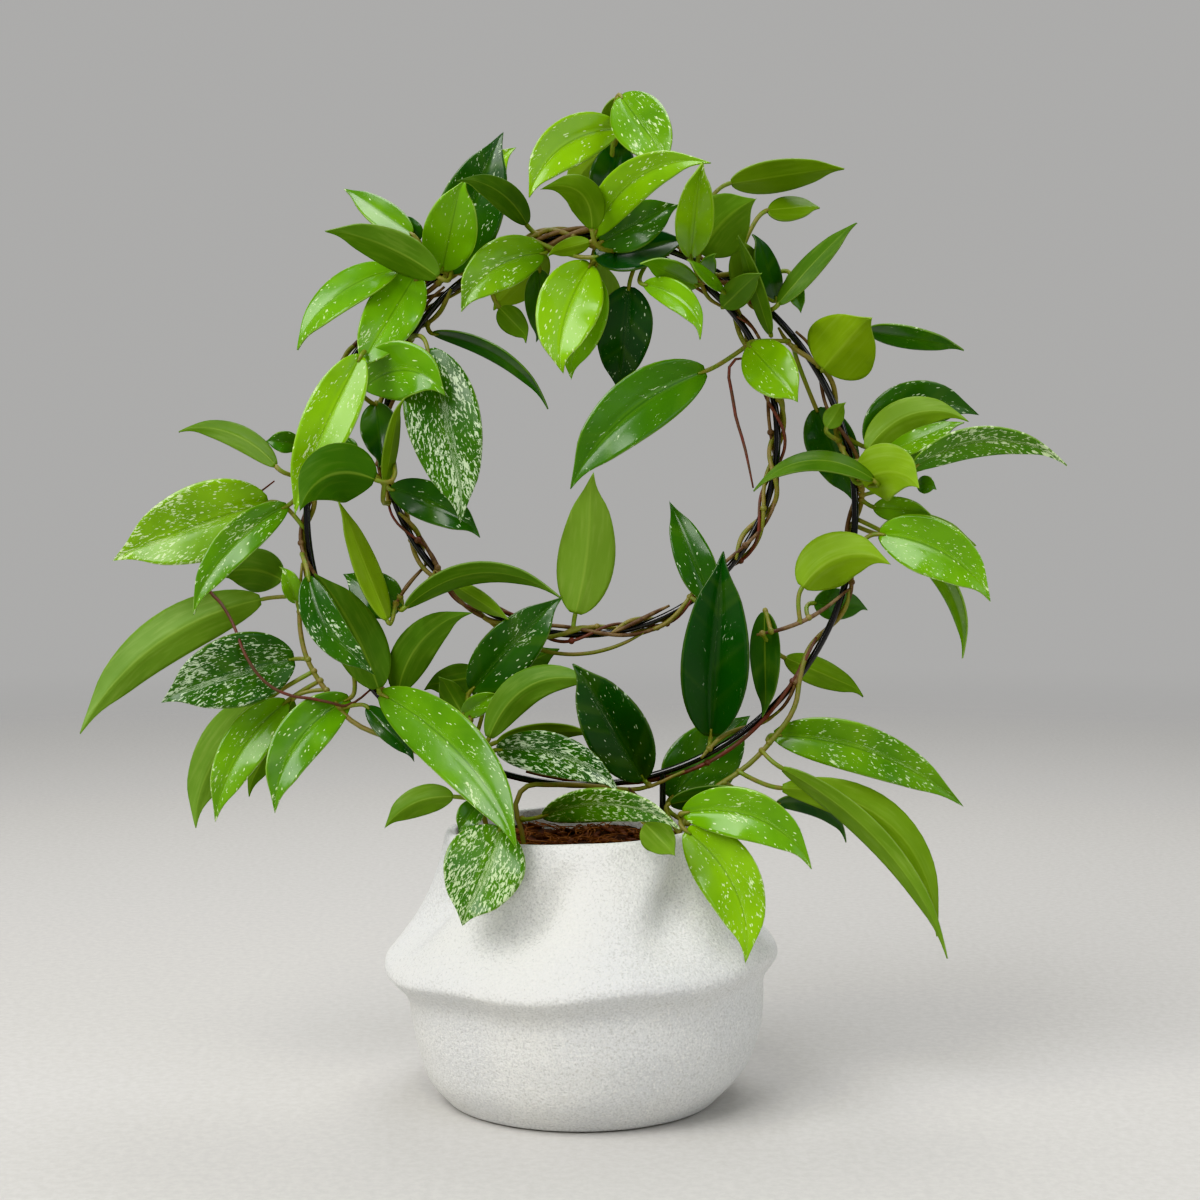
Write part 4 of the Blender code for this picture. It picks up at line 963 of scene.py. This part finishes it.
def map_blade(mesh, places, shift):
    """The blade's two maps: its own, and the flow of its veins, which slant from the midrib to the edge."""
    mesh.uv_layers[0].name = "blade"
    flow = mesh.uv_layers.new(name="flow")
    for loop in mesh.loops:
        out, along = places[loop.vertex_index]
        apart = FLOW_APART if out > 0 else 0.0
        flow.data[loop.index].uv = (
            (abs(out) * FLOW_OUT + apart) / FLOW_SCALE + shift[0],
            (along - abs(out) * FLOW_BACK) / FLOW_SCALE + shift[1],
        )


def thicken(obj):
    """Gives a blade its thickness, with the second finish on the back and the first on the rim."""
    solid = obj.modifiers.new("thickness", "SOLIDIFY")
    solid.thickness = BLADE_THICK * MM
    solid.offset = 0
    solid.use_rim = True
    solid.material_offset = 1
    solid.material_offset_rim = 0
    solid.use_even_offset = False
    apply_all(obj)


def make_blade(leaf, name, rng, upper, underside):
    """A blade: a grid laid on the leaf's shape, given its maps, its look and its thickness."""
    obj = grid(BLADE_ACROSS, BLADE_ALONG)
    mesh = obj.data
    mesh.name = name
    waves = (rng.uniform(*WAVE_HEIGHTS) * min(1.0, leaf.wide / FULL_WIDTH), rng.random(), rng.random())
    shift = (rng.uniform(*FLOW_SHIFTS), rng.uniform(*FLOW_SHIFTS))
    tone = min(max(leaf.tone + rng.uniform(-TONE_SPREAD, TONE_SPREAD), 0), 1)
    hook = -math.copysign(rng.uniform(*TIP_HOOKS), leaf.run[0])
    map_blade(mesh, lay_blade(mesh, leaf, waves, hook), shift)
    look = mesh.attributes.new("look", "FLOAT_COLOR", "POINT")
    for value in look.data:
        value.color = (tone, leaf.flecks, cast_of(leaf), 1)
    seen_side, back = (underside, upper) if leaf.under else (upper, underside)
    dress(obj, name, seen_side)
    mesh.materials.append(back)
    thicken(obj)
    return obj


def cast_of(leaf):
    """One leaf's own cast, a little yellower, at 0, or bluer, at 1, than its neighbours."""
    return 0.5 + 0.5 * math.sin(leaf.base[0] * 1.7 + leaf.tip[1] * 0.9)


def petiole(leaf, root, material):
    """The stalk of a leaf, from its stem to just inside the blade."""
    line = petiole_path(leaf, root, STALK_POINTS)
    if leaf.tucked:
        base = line[-1]
        low = Vector((base.x, root.y, base.z))
        line = interpolate_bezier(root, root.lerp(low, 0.6), low, base, STALK_POINTS)
    if (line[-1] - line[0]).length < STALK_SHORT:
        line = [line[0], line[STALK_POINTS // 2], line[-1]]
    line.append(leaf.point(0.05, 0))
    foot, stalk, end, inside = STALK_RADII
    return cane("petiole", line, [foot, *([stalk] * (len(line) - 3)), end, inside], material)


def knuckle(root, material):
    """The swollen joint that a leaf grows from."""
    start_piece()
    bpy.ops.mesh.primitive_ico_sphere_add(subdivisions=2, radius=KNUCKLE_RADIUS * MM, location=root * MM)
    obj = bpy.context.object
    bpy.ops.object.transform_apply(location=True, rotation=True, scale=True)
    return dress(obj, "knuckle", material)


def tapered(radius, count):
    """A stem's radii: even along it, and slimmer at its growing ends."""
    return [radius * (1 - 0.5 * max(0.0, 1 - min(i, count - 1 - i) / 2) ** 2) for i in range(count)]


def swollen(radius, count):
    """A strand's radii: fullest at its middle."""
    return [radius * (0.6 + 0.4 * math.sin(math.pi * i / (count - 1)) ** 0.4) for i in range(count)]


def make_stems(spray, roots, barks):
    """The stems, tendrils and petioles of a spray, as one piece."""
    pieces = []
    for i, stem in enumerate(spray.stems):
        skin = barks["woody_stem" if i % 2 else "green_stem"]
        pieces.append(cane("stem", stem, tapered(STEM_RADIUS, len(stem)), skin))
    for tendril in spray.tendrils:
        pieces.append(cane("tendril", tendril, tapered(TENDRIL_RADIUS, len(tendril)), barks["wine_stem"]))
    for leaf, root in zip(spray.leaves, roots):
        pieces.append(petiole(leaf, root, barks["petiole_green"]))
        pieces.append(knuckle(root, barks["green_stem"]))
    put(join_pieces(f"{spray.name}_stems", pieces), spray.name)


# The other strands of the vines: name, wire, from one angle to another, turns, phase, radius, skin
STRANDS = [
    ("ring_strand_a", ring_point, 128, 408, 7.6, 0.55, 1.2, "green_stem"),
    ("ring_strand_b", ring_point, 132, 402, -5.3, 0.1, 1.05, "woody_stem"),
    ("ring_strand_c", ring_point, 196, 398, 6.4, 0.85, 0.9, "wine_stem"),
    ("hoop_strand_a", hoop_point, 128, 196, 2.6, 0.8, 1.2, "woody_stem"),
    ("hoop_strand_b", hoop_point, -52, 40, 3.4, 0.75, 1.1, "woody_stem"),
    ("hoop_strand_c", hoop_point, 196, 250, 1.7, 0.6, 1.15, "green_stem"),
    ("hoop_strand_d", hoop_point, 258, 332, 0.9, 0.55, 1.15, "wine_stem"),
    ("hoop_strand_e", hoop_point, 152, 236, 1.3, 0.35, 1.45, "green_stem"),
    ("top_strand_a", both_point, 52, 128, 2.2, 0.05, 1.5, "woody_stem"),
    ("top_strand_b", both_point, 56, 124, -2.6, 0.6, 1.3, "green_stem"),
    ("top_strand_c", both_point, 60, 130, 1.4, 0.45, 1.2, "woody_stem"),
]


def extra_strands(barks):
    """The strands that wind on with the solid ones, and a loose loop that hangs under the ring."""
    for name, along, start, end, turns, phase, radius, skin in STRANDS:
        points = twine(along, start, end, turns, phase)
        pieces = [cane(name, points, swollen(radius, len(points)), barks[skin])]
        pieces += [knuckle(point, barks[skin]) for point in points[KNUCKLES]]
        put(join_pieces(name, pieces), None)
    loop = []
    for i in range(LOOP_STEPS + 1):
        share = i / LOOP_STEPS
        out = TWINE_RADIUS + LOOP_HANG * math.sin(math.pi * share)
        loop.append(ring_point(LOOP_START + LOOP_SPAN * share, out, LOOP_NEAR))
    put(cane("ring_loop", loop, tapered(LOOP_RADIUS, len(loop)), barks["green_stem"]), None)


# The trellis

def wire_ring(up, radius):
    start_piece()
    bpy.ops.mesh.primitive_torus_add(
        major_radius=radius * MM,
        minor_radius=ROD_RADIUS * MM,
        major_segments=WIRE_STEPS,
        minor_segments=WIRE_SIDES,
        location=(0, 0, up * MM),
        rotation=(math.radians(90), 0, 0),
    )
    obj = bpy.context.object
    bpy.ops.object.transform_apply(location=True, rotation=True, scale=True)
    bpy.ops.object.shade_smooth()
    return obj


def wire_leg(across):
    start_piece()
    bpy.ops.mesh.primitive_cylinder_add(
        vertices=WIRE_SIDES,
        radius=LEG_RADIUS * MM,
        depth=(LEG_TOP_UP - LEG_FOOT_UP) * MM,
        location=(across * MM, 0, (LEG_TOP_UP + LEG_FOOT_UP) / 2 * MM),
    )
    obj = bpy.context.object
    bpy.ops.object.transform_apply(location=True, rotation=True, scale=True)
    bpy.ops.object.shade_smooth_by_angle(angle=math.radians(40))
    return obj


def make_trellis(material):
    rounds = [wire_ring(*wire) for wire in ROUNDS]
    legs = [wire_leg(across) for across in (-LEG_ACROSS, LEG_ACROSS)]
    obj = join_pieces("wire_trellis", rounds + legs)
    obj.data.materials.append(material)
    put(obj, "trellis")


# The pot and the potting mix

def pot_point(up, radius, turn):
    """A point of the pot's outside, with the ridge's waves and the neck's pleats."""
    waves = RIDGE_TILT_HEIGHT * math.cos(turn)
    waves += RIDGE_WAVE_HEIGHT * math.cos(FOLDS * (turn - FOLD_START))
    rise = (RIDGE_RISE + waves) * math.sin(math.pi * min(up, RIM_UP) / RIM_UP)
    tilt = RIM_TILT_HEIGHT * math.cos(turn) * (up / RIM_UP) ** 4
    slant = PLEAT_SLANT * (up - PLEAT_MIDDLE_UP)
    pleat = (0.5 + 0.5 * math.cos(FOLDS * (turn - FOLD_START - slant))) ** PLEAT_POWER
    pleat *= fade(*PLEAT_FOOT, up) * (1 - PLEAT_HEAD_LOSS * fade(*PLEAT_HEAD, up))
    radius -= PLEAT_DEPTH * pleat
    shift = BODY_SHIFT * math.sin(math.pi * min(up, RIDGE_UP) / RIDGE_UP)
    x, y = around(radius, turn)
    return Vector((shift + x, y, max(up + rise + tilt, 0)))


def between(u, before, low, high, after):
    """A soft curve from low to high, at a share u of the way, with the values on either side of them."""
    square = 2 * before - 5 * low + 4 * high - after
    cube = 3 * low - before - 3 * high + after
    return 0.5 * (2 * low + (high - before) * u + square * u * u + cube * u**3)


def smooth_levels(levels, count):
    """Levels on a soft curve through a list of (height, radius) ones."""
    last = len(levels) - 1
    found = []
    for i in range(last):
        four = [levels[min(max(k, 0), last)] for k in range(i - 1, i + 3)]
        for k in range(count):
            found.append(tuple(between(k / count, *values) for values in zip(*four)))
    return found + [levels[-1]]


def make_pot(material):
    """The pot: its levels laid round it, ring by ring, and folded."""
    folded = smooth_levels(POT_OUTER, LEVEL_STEPS) + POT_LIP
    levels = folded + POT_INNER
    rows = len(levels) - 1
    obj = grid(POT_TURN_STEPS, rows)
    for vertex in obj.data.vertices:
        row = round((vertex.co.y + 1) / 2 * rows)
        turn = (vertex.co.x + 1) * math.pi
        up, radius = levels[row]
        if row < len(folded):
            vertex.co = pot_point(up, radius, turn) * MM
        else:
            vertex.co = Vector((*around(radius, turn), up)) * MM
    weld(obj, SEAM)
    put(dress(obj, "pleated_pot", material), "pot")


def mix_height(x, y):
    """The height of the potting mix at a point."""
    bumps = math.sin(x / 7) + math.cos(y / 6 + x / 11)
    rough = noise.noise(Vector((x / 5, y / 5, 0))) * 1.5 + noise.noise(Vector((x / 2, y / 2, 3))) * 0.7
    return MIX_TOP_UP + MIX_BUMP * bumps / 2 + rough


def mix_surface(material):
    """The crowned, rough top of the mix, closed below."""
    obj = grid(MIX_TURN_STEPS, MIX_RINGS)
    for vertex in obj.data.vertices:
        x, y = around(MIX_EDGE * (vertex.co.y + 1) / 2, (vertex.co.x + 1) * math.pi)
        vertex.co = Vector((x, y, mix_height(x, y))) * MM
    bpy.ops.object.mode_set(mode="EDIT")
    bpy.ops.mesh.select_all(action="SELECT")
    bpy.ops.mesh.remove_doubles(threshold=SEAM)
    bpy.ops.mesh.normals_make_consistent(inside=False)
    bpy.ops.mesh.select_all(action="DESELECT")
    bpy.ops.mesh.select_non_manifold()
    bpy.ops.mesh.extrude_edges_move(TRANSFORM_OT_translate={"value": (0, 0, -MIX_DEEP * MM)})
    bpy.ops.mesh.edge_face_add()
    bpy.ops.mesh.select_all(action="SELECT")
    bpy.ops.mesh.normals_make_consistent(inside=False)
    bpy.ops.object.mode_set(mode="OBJECT")
    return dress(obj, "coir_surface", material)


def scattered(rng, margin):
    """A random place on the mix, so far from the pot's wall."""
    radius = (MIX_EDGE - margin) * math.sqrt(rng.random())
    return around(radius, rng.uniform(0, math.tau))


def bark_chip(rng, material):
    """One chip of bark, a broken slab, lying on the mix at a slant."""
    x, y = scattered(rng, CHIP_MARGIN)
    start_piece()
    bpy.ops.mesh.primitive_cube_add(size=1)
    obj = bpy.context.object
    for vertex in obj.data.vertices:
        vertex.co *= rng.uniform(*CHIP_SKEW)
    obj.scale = [rng.uniform(*sizes) * MM for sizes in CHIP_SIZES]
    obj.rotation_euler = (rng.uniform(*CHIP_SLANT), rng.uniform(*CHIP_SLANT), rng.uniform(0, math.tau))
    obj.location = (x * MM, y * MM, (mix_height(x, y) + rng.uniform(*CHIP_LIFT)) * MM)
    bpy.ops.object.transform_apply(location=True, rotation=True, scale=True)
    worn = obj.modifiers.new("worn", "BEVEL")
    worn.width = CHIP_WEAR * MM
    worn.segments = 1
    apply_all(obj)
    obj.data.materials.append(material)
    return obj


def coir_fibre(rng, material):
    """One curled fibre, lying on the mix inside the pot's wall."""
    middle = Vector((*scattered(rng, FIBRE_MARGIN), 0))
    way = rng.uniform(0, math.tau)
    reach = rng.uniform(*FIBRE_REACH)
    points = []
    for i in range(len(FIBRE_RADII)):
        point = middle + Vector((*around(1.0, way), 0)) * reach * (i - 1.5) / 1.5
        point.x = min(max(point.x, -FIBRE_LIMIT), FIBRE_LIMIT)
        point.y = min(max(point.y, -FIBRE_LIMIT), FIBRE_LIMIT)
        if point.length > MIX_EDGE - 1:
            point *= (MIX_EDGE - 1) / point.length
        point.z = mix_height(point.x, point.y) + rng.uniform(*FIBRE_LIFT)
        points.append(point)
        way += rng.uniform(*FIBRE_CURL)
    return cane("fibre", points, FIBRE_RADII, material, roundness=0)


def make_potting_mix(surface, chips, fibres):
    rng = random.Random(MIX_SEED)
    pieces = [mix_surface(surface)]
    pieces += [bark_chip(rng, chips) for _ in range(BARK_CHIPS)]
    pieces += [coir_fibre(rng, fibres) for _ in range(COIR_FIBRES)]
    put(join_pieces("coir_and_bark_mix", pieces), "potting_mix")


# Finishes

class Value:
    """A number that a shader works out: Python's own operators add its Math nodes."""

    def __init__(self, shading, socket):
        self.shading = shading
        self.socket = socket

    def math(self, operation, *others):
        node = self.shading.tree.nodes.new("ShaderNodeMath")
        node.operation = operation
        for entry, value in zip(node.inputs, (self, *others)):
            self.shading.feed(entry, value)
        return Value(self.shading, node.outputs[0])

    def __add__(self, other):
        return self.math("ADD", other)

    def __sub__(self, other):
        return self.math("SUBTRACT", other)

    def __rsub__(self, other):
        return (self * -1) + other

    def __mul__(self, other):
        return self.math("MULTIPLY", other)

    __radd__ = __add__
    __rmul__ = __mul__

    def step(self, low, high, start=0.0, end=1.0):
        """Start below low, end above high and soft between them. Low may be above high."""
        return self.shading.node("MapRange", {"interpolation_type": "SMOOTHSTEP"}, Value=self, From_Min=low,
                                 From_Max=high, To_Min=start, To_Max=end)["Result"]


class Shading:
    """A tree of shader nodes, with short ways to add to it."""

    def __init__(self, tree):
        self.tree = tree

    def feed(self, entry, value):
        if isinstance(value, Value):
            self.tree.links.new(value.socket, entry)
        elif isinstance(value, tuple) and entry.type == "RGBA":
            entry.default_value = (*value, 1)
        else:
            entry.default_value = value

    def node(self, kind, settings=None, **sockets):
        """Adds a node: its settings first, then the values or links of its sockets."""
        node = self.tree.nodes.new("ShaderNode" + kind)
        for name, value in (settings or {}).items():
            setattr(node, name, value)
        for name, value in sockets.items():
            self.feed(node.inputs[name.replace("_", " ")], value)
        return {out.name: Value(self, out) for out in node.outputs}


class Finish(Shading):
    """A material, with the shader that its surface shows."""

    def __init__(self, name, **sockets):
        self.material = bpy.data.materials.new(name)
        self.material.use_nodes = True
        super().__init__(self.material.node_tree)
        self.shader = self.tree.nodes["Principled BSDF"]
        self.surface = self.node("TexCoord")["Object"]
        self.set(**sockets)

    def set(self, **sockets):
        for name, value in sockets.items():
            self.feed(self.shader.inputs[name.replace("_", " ")], value)

    def stretched(self, vector, x, y, z=1.0):
        return self.node("Mapping", Vector=vector, Scale=(x, y, z))["Vector"]

    def noise(self, vector, scale, detail, roughness=0.5, warp=0.0):
        return self.node("TexNoise", Vector=vector, Scale=scale, Detail=detail, Roughness=roughness,
                         Distortion=warp)["Fac"]

    def spots(self, vector, scale):
        """How far each place is from the middle of its cell."""
        return self.node("TexVoronoi", Vector=vector, Scale=scale)["Distance"]

    def blend(self, share, first, second):
        """Two colours, mixed by a share."""
        node = self.tree.nodes.new("ShaderNodeMix")
        node.data_type = "RGBA"
        for entry, value in zip((node.inputs[0], node.inputs[6], node.inputs[7]), (share, first, second)):
            self.feed(entry, value)
        return Value(self, node.outputs[2])

    def bump(self, height, distance, strength):
        bumped = self.node("Bump", Height=height, Distance=distance, Strength=strength)["Normal"]
        self.set(Normal=bumped)


@dataclass
class BladeReading:
    """What a blade's attribute and maps say at each place of it."""

    tone: Value
    flecks: Value
    cast: Value
    side: Value  # 0 at the midrib and 1 at the edges
    along: Value  # 0 at the base and 1 at the tip
    flow: Value
    vein: Value


def read_blade(finish):
    attribute = finish.node("Attribute", {"attribute_name": "look"})["Color"]
    look = finish.node("SeparateColor", Color=attribute)
    blade = finish.node("SeparateXYZ", Vector=finish.node("UVMap", {"uv_map": "blade"})["UV"])
    side = (blade["X"] * 2 - 1).math("ABSOLUTE")
    flow = finish.node("UVMap", {"uv_map": "flow"})["UV"]
    vein = finish.noise(finish.stretched(flow, 0.6, 9.0), 1.0, 1.0, 0.4)
    return BladeReading(look["Red"], look["Green"], look["Blue"], side, blade["Y"], flow, vein)


def silver_flecks(finish, blade):
    """Where the silver marks are: broken streaks where a leaf has many, and small dots where it has few."""
    flecks = blade.flecks
    fine = finish.noise(finish.stretched(blade.flow, 60.0, 33.0), 1.0, 4.0, 0.68, 0.5)
    clump = finish.noise(finish.stretched(blade.flow, 8.0, 5.0), 1.0, 1.0)
    level = 0.69 - flecks * 0.20 - (clump - 0.5) * (0.5 - flecks * 0.25) - (blade.along - 0.5) * 0.08
    streaks = (fine - level).step(0.0, 0.045) * flecks.step(0.0, 0.05)
    dots = finish.spots(finish.stretched(blade.flow, 36.0, 23.0), 1.0) + (clump - 0.5) * 0.25
    return streaks.math("MAXIMUM", dots.step(0.17, 0.10) * flecks.step(0.02, 0.12))


def leaf_upper():
    """The waxy upper side: green by the leaf's tone, painted shade along the midrib's groove with a paler
    band beside it, a pale rim, veins and silver flecks.
    """
    finish = Finish("hoya_leaf_upper", Coat_Weight=0.2, Coat_Roughness=0.12, Specular_IOR_Level=0.38)
    blade = read_blade(finish)
    tone, side = blade.tone, blade.side
    clouds = finish.noise(finish.surface, 38.0, 3.0)
    bright, middle, deep = (finish.blend(blade.cast, *pair) for pair in UPPER_GREENS)
    shade = tone + (clouds - 0.5) * 0.4
    green = finish.blend(shade.step(0.0, 0.55), bright, middle)
    green = finish.blend(shade.step(0.45, 1.0), green, deep)
    green = finish.blend(blade.vein.step(0.5, 0.68) * 0.05 * (2 - tone), green, (0.30, 0.50, 0.07))
    # Painted shade in the midrib's groove: rib marks the groove, fading towards the tip, and beside is a
    # paler band on each side of it
    rib = side.step(0.040, 0.008) * (1 - blade.along * 0.5)
    beside = side.step(0.12, 0.05) * (1 - rib)
    green = finish.blend(beside * (0.12 - tone * 0.11), green, (0.32, 0.52, 0.06))
    # painted shade: the midrib's groove is darkened towards the deep green
    green = finish.blend(rib * 0.35, green, deep)
    green = finish.blend(side.step(0.955, 0.99) * (0.5 - tone * 0.42), green, (0.42, 0.58, 0.15))
    mark = silver_flecks(finish, blade)
    pale = finish.blend(tone, (0.70, 0.84, 0.42), (0.50, 0.62, 0.44))
    green = finish.blend(mark * 0.85, green, pale)
    finish.set(Base_Color=green, Roughness=0.26 + mark * 0.2 + clouds * 0.1)
    finish.bump(blade.vein * 0.45 + clouds * 0.5 - mark * 0.05, 0.0007, 0.5)
    return finish.material


def leaf_underside():
    """The matte underside: yellow-green to olive, with a raised paler midrib."""
    finish = Finish("hoya_leaf_underside", Specular_IOR_Level=0.22)
    blade = read_blade(finish)
    clouds = finish.noise(finish.surface, 45.0, 3.0)
    light, middle, olive = (finish.blend(blade.cast, *pair) for pair in UNDER_GREENS)
    shade = blade.tone + (clouds - 0.5) * 0.35
    green = finish.blend(shade.step(-0.05, 0.55), light, middle)
    green = finish.blend(shade.step(0.45, 1.0), green, olive)
    green = finish.blend(blade.vein.step(0.52, 0.66) * 0.10, green, (0.16, 0.27, 0.04))
    streak = finish.noise(finish.stretched(blade.flow, 34.0, 5.0), 1.0, 2.0, 0.6)
    green = finish.blend(streak.step(0.45, 0.75) * (0.25 - blade.tone * 0.2), green, (0.36, 0.48, 0.13))
    rib = blade.side.step(0.06, 0.012) * (1 - blade.along * 0.7)
    green = finish.blend(rib * 0.3, green, (0.40, 0.54, 0.11))
    green = finish.blend(blade.side.step(0.955, 0.995) * 0.25, green, (0.38, 0.50, 0.17))
    finish.set(Base_Color=green, Roughness=0.46 + clouds * 0.12)
    finish.bump(rib * 0.8 + blade.vein * 0.3 + clouds * 0.2, 0.0004, 0.5)
    return finish.material


def bark(name, first, second, roughness):
    """A stem's skin: two colours in streaks along it, with small corky marks."""
    finish = Finish(name)
    streaks = finish.noise(finish.surface, 140.0, 4.0, 0.6)
    marks = finish.spots(finish.surface, 420.0).step(0.22, 0.05)
    colour = finish.blend(streaks.step(0.36, 0.64), first, second)
    colour = finish.blend(marks * 0.5, colour, (0.09, 0.055, 0.03))
    finish.set(Base_Color=colour, Roughness=roughness + streaks * 0.15)
    finish.bump(streaks + marks * 0.4, 0.0003, 0.6)
    return finish.material


def black_wire():
    """Glossy black paint, a little worn."""
    finish = Finish("black_wire", Coat_Weight=0.6, Coat_Roughness=0.08)
    wear = finish.noise(finish.surface, 260.0, 3.0)
    colour = finish.blend(wear.step(0.6, 0.75) * 0.4, (0.008, 0.008, 0.009), (0.035, 0.033, 0.03))
    finish.set(Base_Color=colour, Roughness=0.14 + wear * 0.16)
    finish.bump(wear, 0.0002, 0.3)
    return finish.material


def cream_ceramic():
    """A matte glaze over a sandy body: off-white, with a fine grey speckle and a gritty feel."""
    finish = Finish("cream_ceramic", Specular_IOR_Level=0.35)
    sand = finish.noise(finish.surface, 900.0, 3.0, 0.75)
    grit = finish.noise(finish.surface, 480.0, 2.0, 0.6)
    cloud = finish.noise(finish.surface, 12.0, 3.0)
    colour = finish.blend(cloud.step(0.3, 0.7), (0.80, 0.80, 0.77), (0.72, 0.73, 0.73))
    colour = finish.blend(sand.step(0.49, 0.36) * 0.6, colour, (0.50, 0.50, 0.48))
    colour = finish.blend(sand.step(0.54, 0.66) * 0.7, colour, (0.93, 0.92, 0.88))
    colour = finish.blend(grit.step(0.58, 0.70) * 0.3, colour, (0.58, 0.57, 0.53))
    finish.set(Base_Color=colour, Roughness=0.6 + sand * 0.25)
    finish.bump(sand * 0.8 + grit * 0.8, 0.0008, 0.9)
    return finish.material


def coir():
    """Damp coir: near black to dark red-brown."""
    finish = Finish("coir", Roughness=0.95)
    threads = finish.noise(finish.surface, 420.0, 4.0, 0.7)
    patch = finish.noise(finish.surface, 90.0, 2.0)
    colour = finish.blend(threads.step(0.35, 0.65), (0.010, 0.005, 0.003), (0.060, 0.022, 0.012))
    colour = finish.blend(patch.step(0.5, 0.7) * 0.5, colour, (0.10, 0.036, 0.018))
    finish.set(Base_Color=colour)
    finish.bump(threads, 0.0015, 1.0)
    return finish.material


def bark_chips():
    """Bark in thin layers, with paler broken places."""
    finish = Finish("bark_chips", Roughness=0.85)
    layers = finish.noise(finish.stretched(finish.surface, 60.0, 60.0, 420.0), 1.0, 4.0, 0.6)
    patch = finish.noise(finish.surface, 110.0, 2.0)
    colour = finish.blend(layers.step(0.35, 0.65), (0.020, 0.008, 0.005), (0.10, 0.034, 0.018))
    colour = finish.blend(patch.step(0.52, 0.72) * 0.6, colour, (0.22, 0.105, 0.060))
    finish.set(Base_Color=colour)
    finish.bump(layers, 0.001, 0.8)
    return finish.material


def coir_fibres():
    finish = Finish("coir_fibres", Roughness=0.8)
    streak = finish.noise(finish.surface, 180.0, 3.0)
    finish.set(Base_Color=finish.blend(streak.step(0.35, 0.65), (0.09, 0.030, 0.014), (0.30, 0.13, 0.06)))
    finish.bump(streak, 0.0003, 0.5)
    return finish.material


def pale_floor():
    """Pale and finely grained, and fading out into the backdrop."""
    finish = Finish("pale_floor", Roughness=0.8)
    grain = finish.noise(finish.surface, 220.0, 4.0, 0.7)
    away = finish.node("VectorMath", {"operation": "LENGTH"}, Vector=finish.surface)["Value"]
    finish.set(Base_Color=finish.blend(grain.step(0.3, 0.7), (0.56, 0.55, 0.53), (0.62, 0.61, 0.59)))
    finish.set(Alpha=away.step(FLOOR_GONE, FLOOR_WHOLE))
    return finish.material


# The picture

def make_floor():
    start_piece()
    bpy.ops.mesh.primitive_circle_add(vertices=96, radius=FLOOR_RADIUS, fill_type="NGON", location=(0, 0, 0))
    floor = bpy.context.object
    floor.name = "floor"
    floor.data.materials.append(pale_floor())


def make_camera():
    camera = bpy.data.cameras.new("camera")
    camera.lens = LENS
    camera.sensor_width = SENSOR_WIDTH
    obj = in_scene("camera", camera)
    obj.location = (EYE_ACROSS * MM, -EYE_AWAY * MM, EYE_UP * MM)
    obj.rotation_euler = (math.radians(90) - EYE_TILT, 0, 0)
    bpy.context.scene.camera = obj


def make_light(name, location, aim, size, power, colour):
    """A soft square light that looks at a point."""
    lamp = bpy.data.lights.new(name, "AREA")
    lamp.shape = "SQUARE"
    lamp.size = size
    lamp.energy = power
    lamp.color = colour
    obj = in_scene(name, lamp)
    obj.location = location
    obj.rotation_euler = (Vector(aim) - Vector(location)).to_track_quat("-Z", "Y").to_euler()


def make_backdrop():
    """A plain grey backdrop, which is also the room's light and darkens a little upwards."""
    world = bpy.data.worlds.new("studio")
    bpy.context.scene.world = world
    world.use_nodes = True
    background = world.node_tree.nodes["Background"].inputs
    sky = Shading(world.node_tree)
    up = sky.node("SeparateXYZ", Vector=sky.node("TexCoord")["Generated"])["Z"]
    sky.feed(background["Color"], (0.82, 0.815, 0.805))
    sky.feed(background["Strength"], up.step(0.25, 0.7, 0.55, 0.32))


def main():
    make_camera()
    for light in LIGHTS:
        make_light(*light)
    make_backdrop()
    bpy.context.scene.view_settings.view_transform = "Khronos PBR Neutral"
    make_floor()
    make_pot(cream_ceramic())
    make_potting_mix(coir(), bark_chips(), coir_fibres())
    make_trellis(black_wire())
    upper, underside = leaf_upper(), leaf_underside()
    barks = {name: bark(name, *look) for name, look in BARKS.items()}
    rng = random.Random(LOOK_SEED)
    for spray in make_sprays():
        make_stems(spray, petiole_roots(spray.leaves, spray.stems), barks)
        for number, leaf in enumerate(spray.leaves, 1):
            blade = make_blade(leaf, f"{spray.name}_leaf_{number:02d}", rng, upper, underside)
            put(blade, spray.name)
    extra_strands(barks)


main()
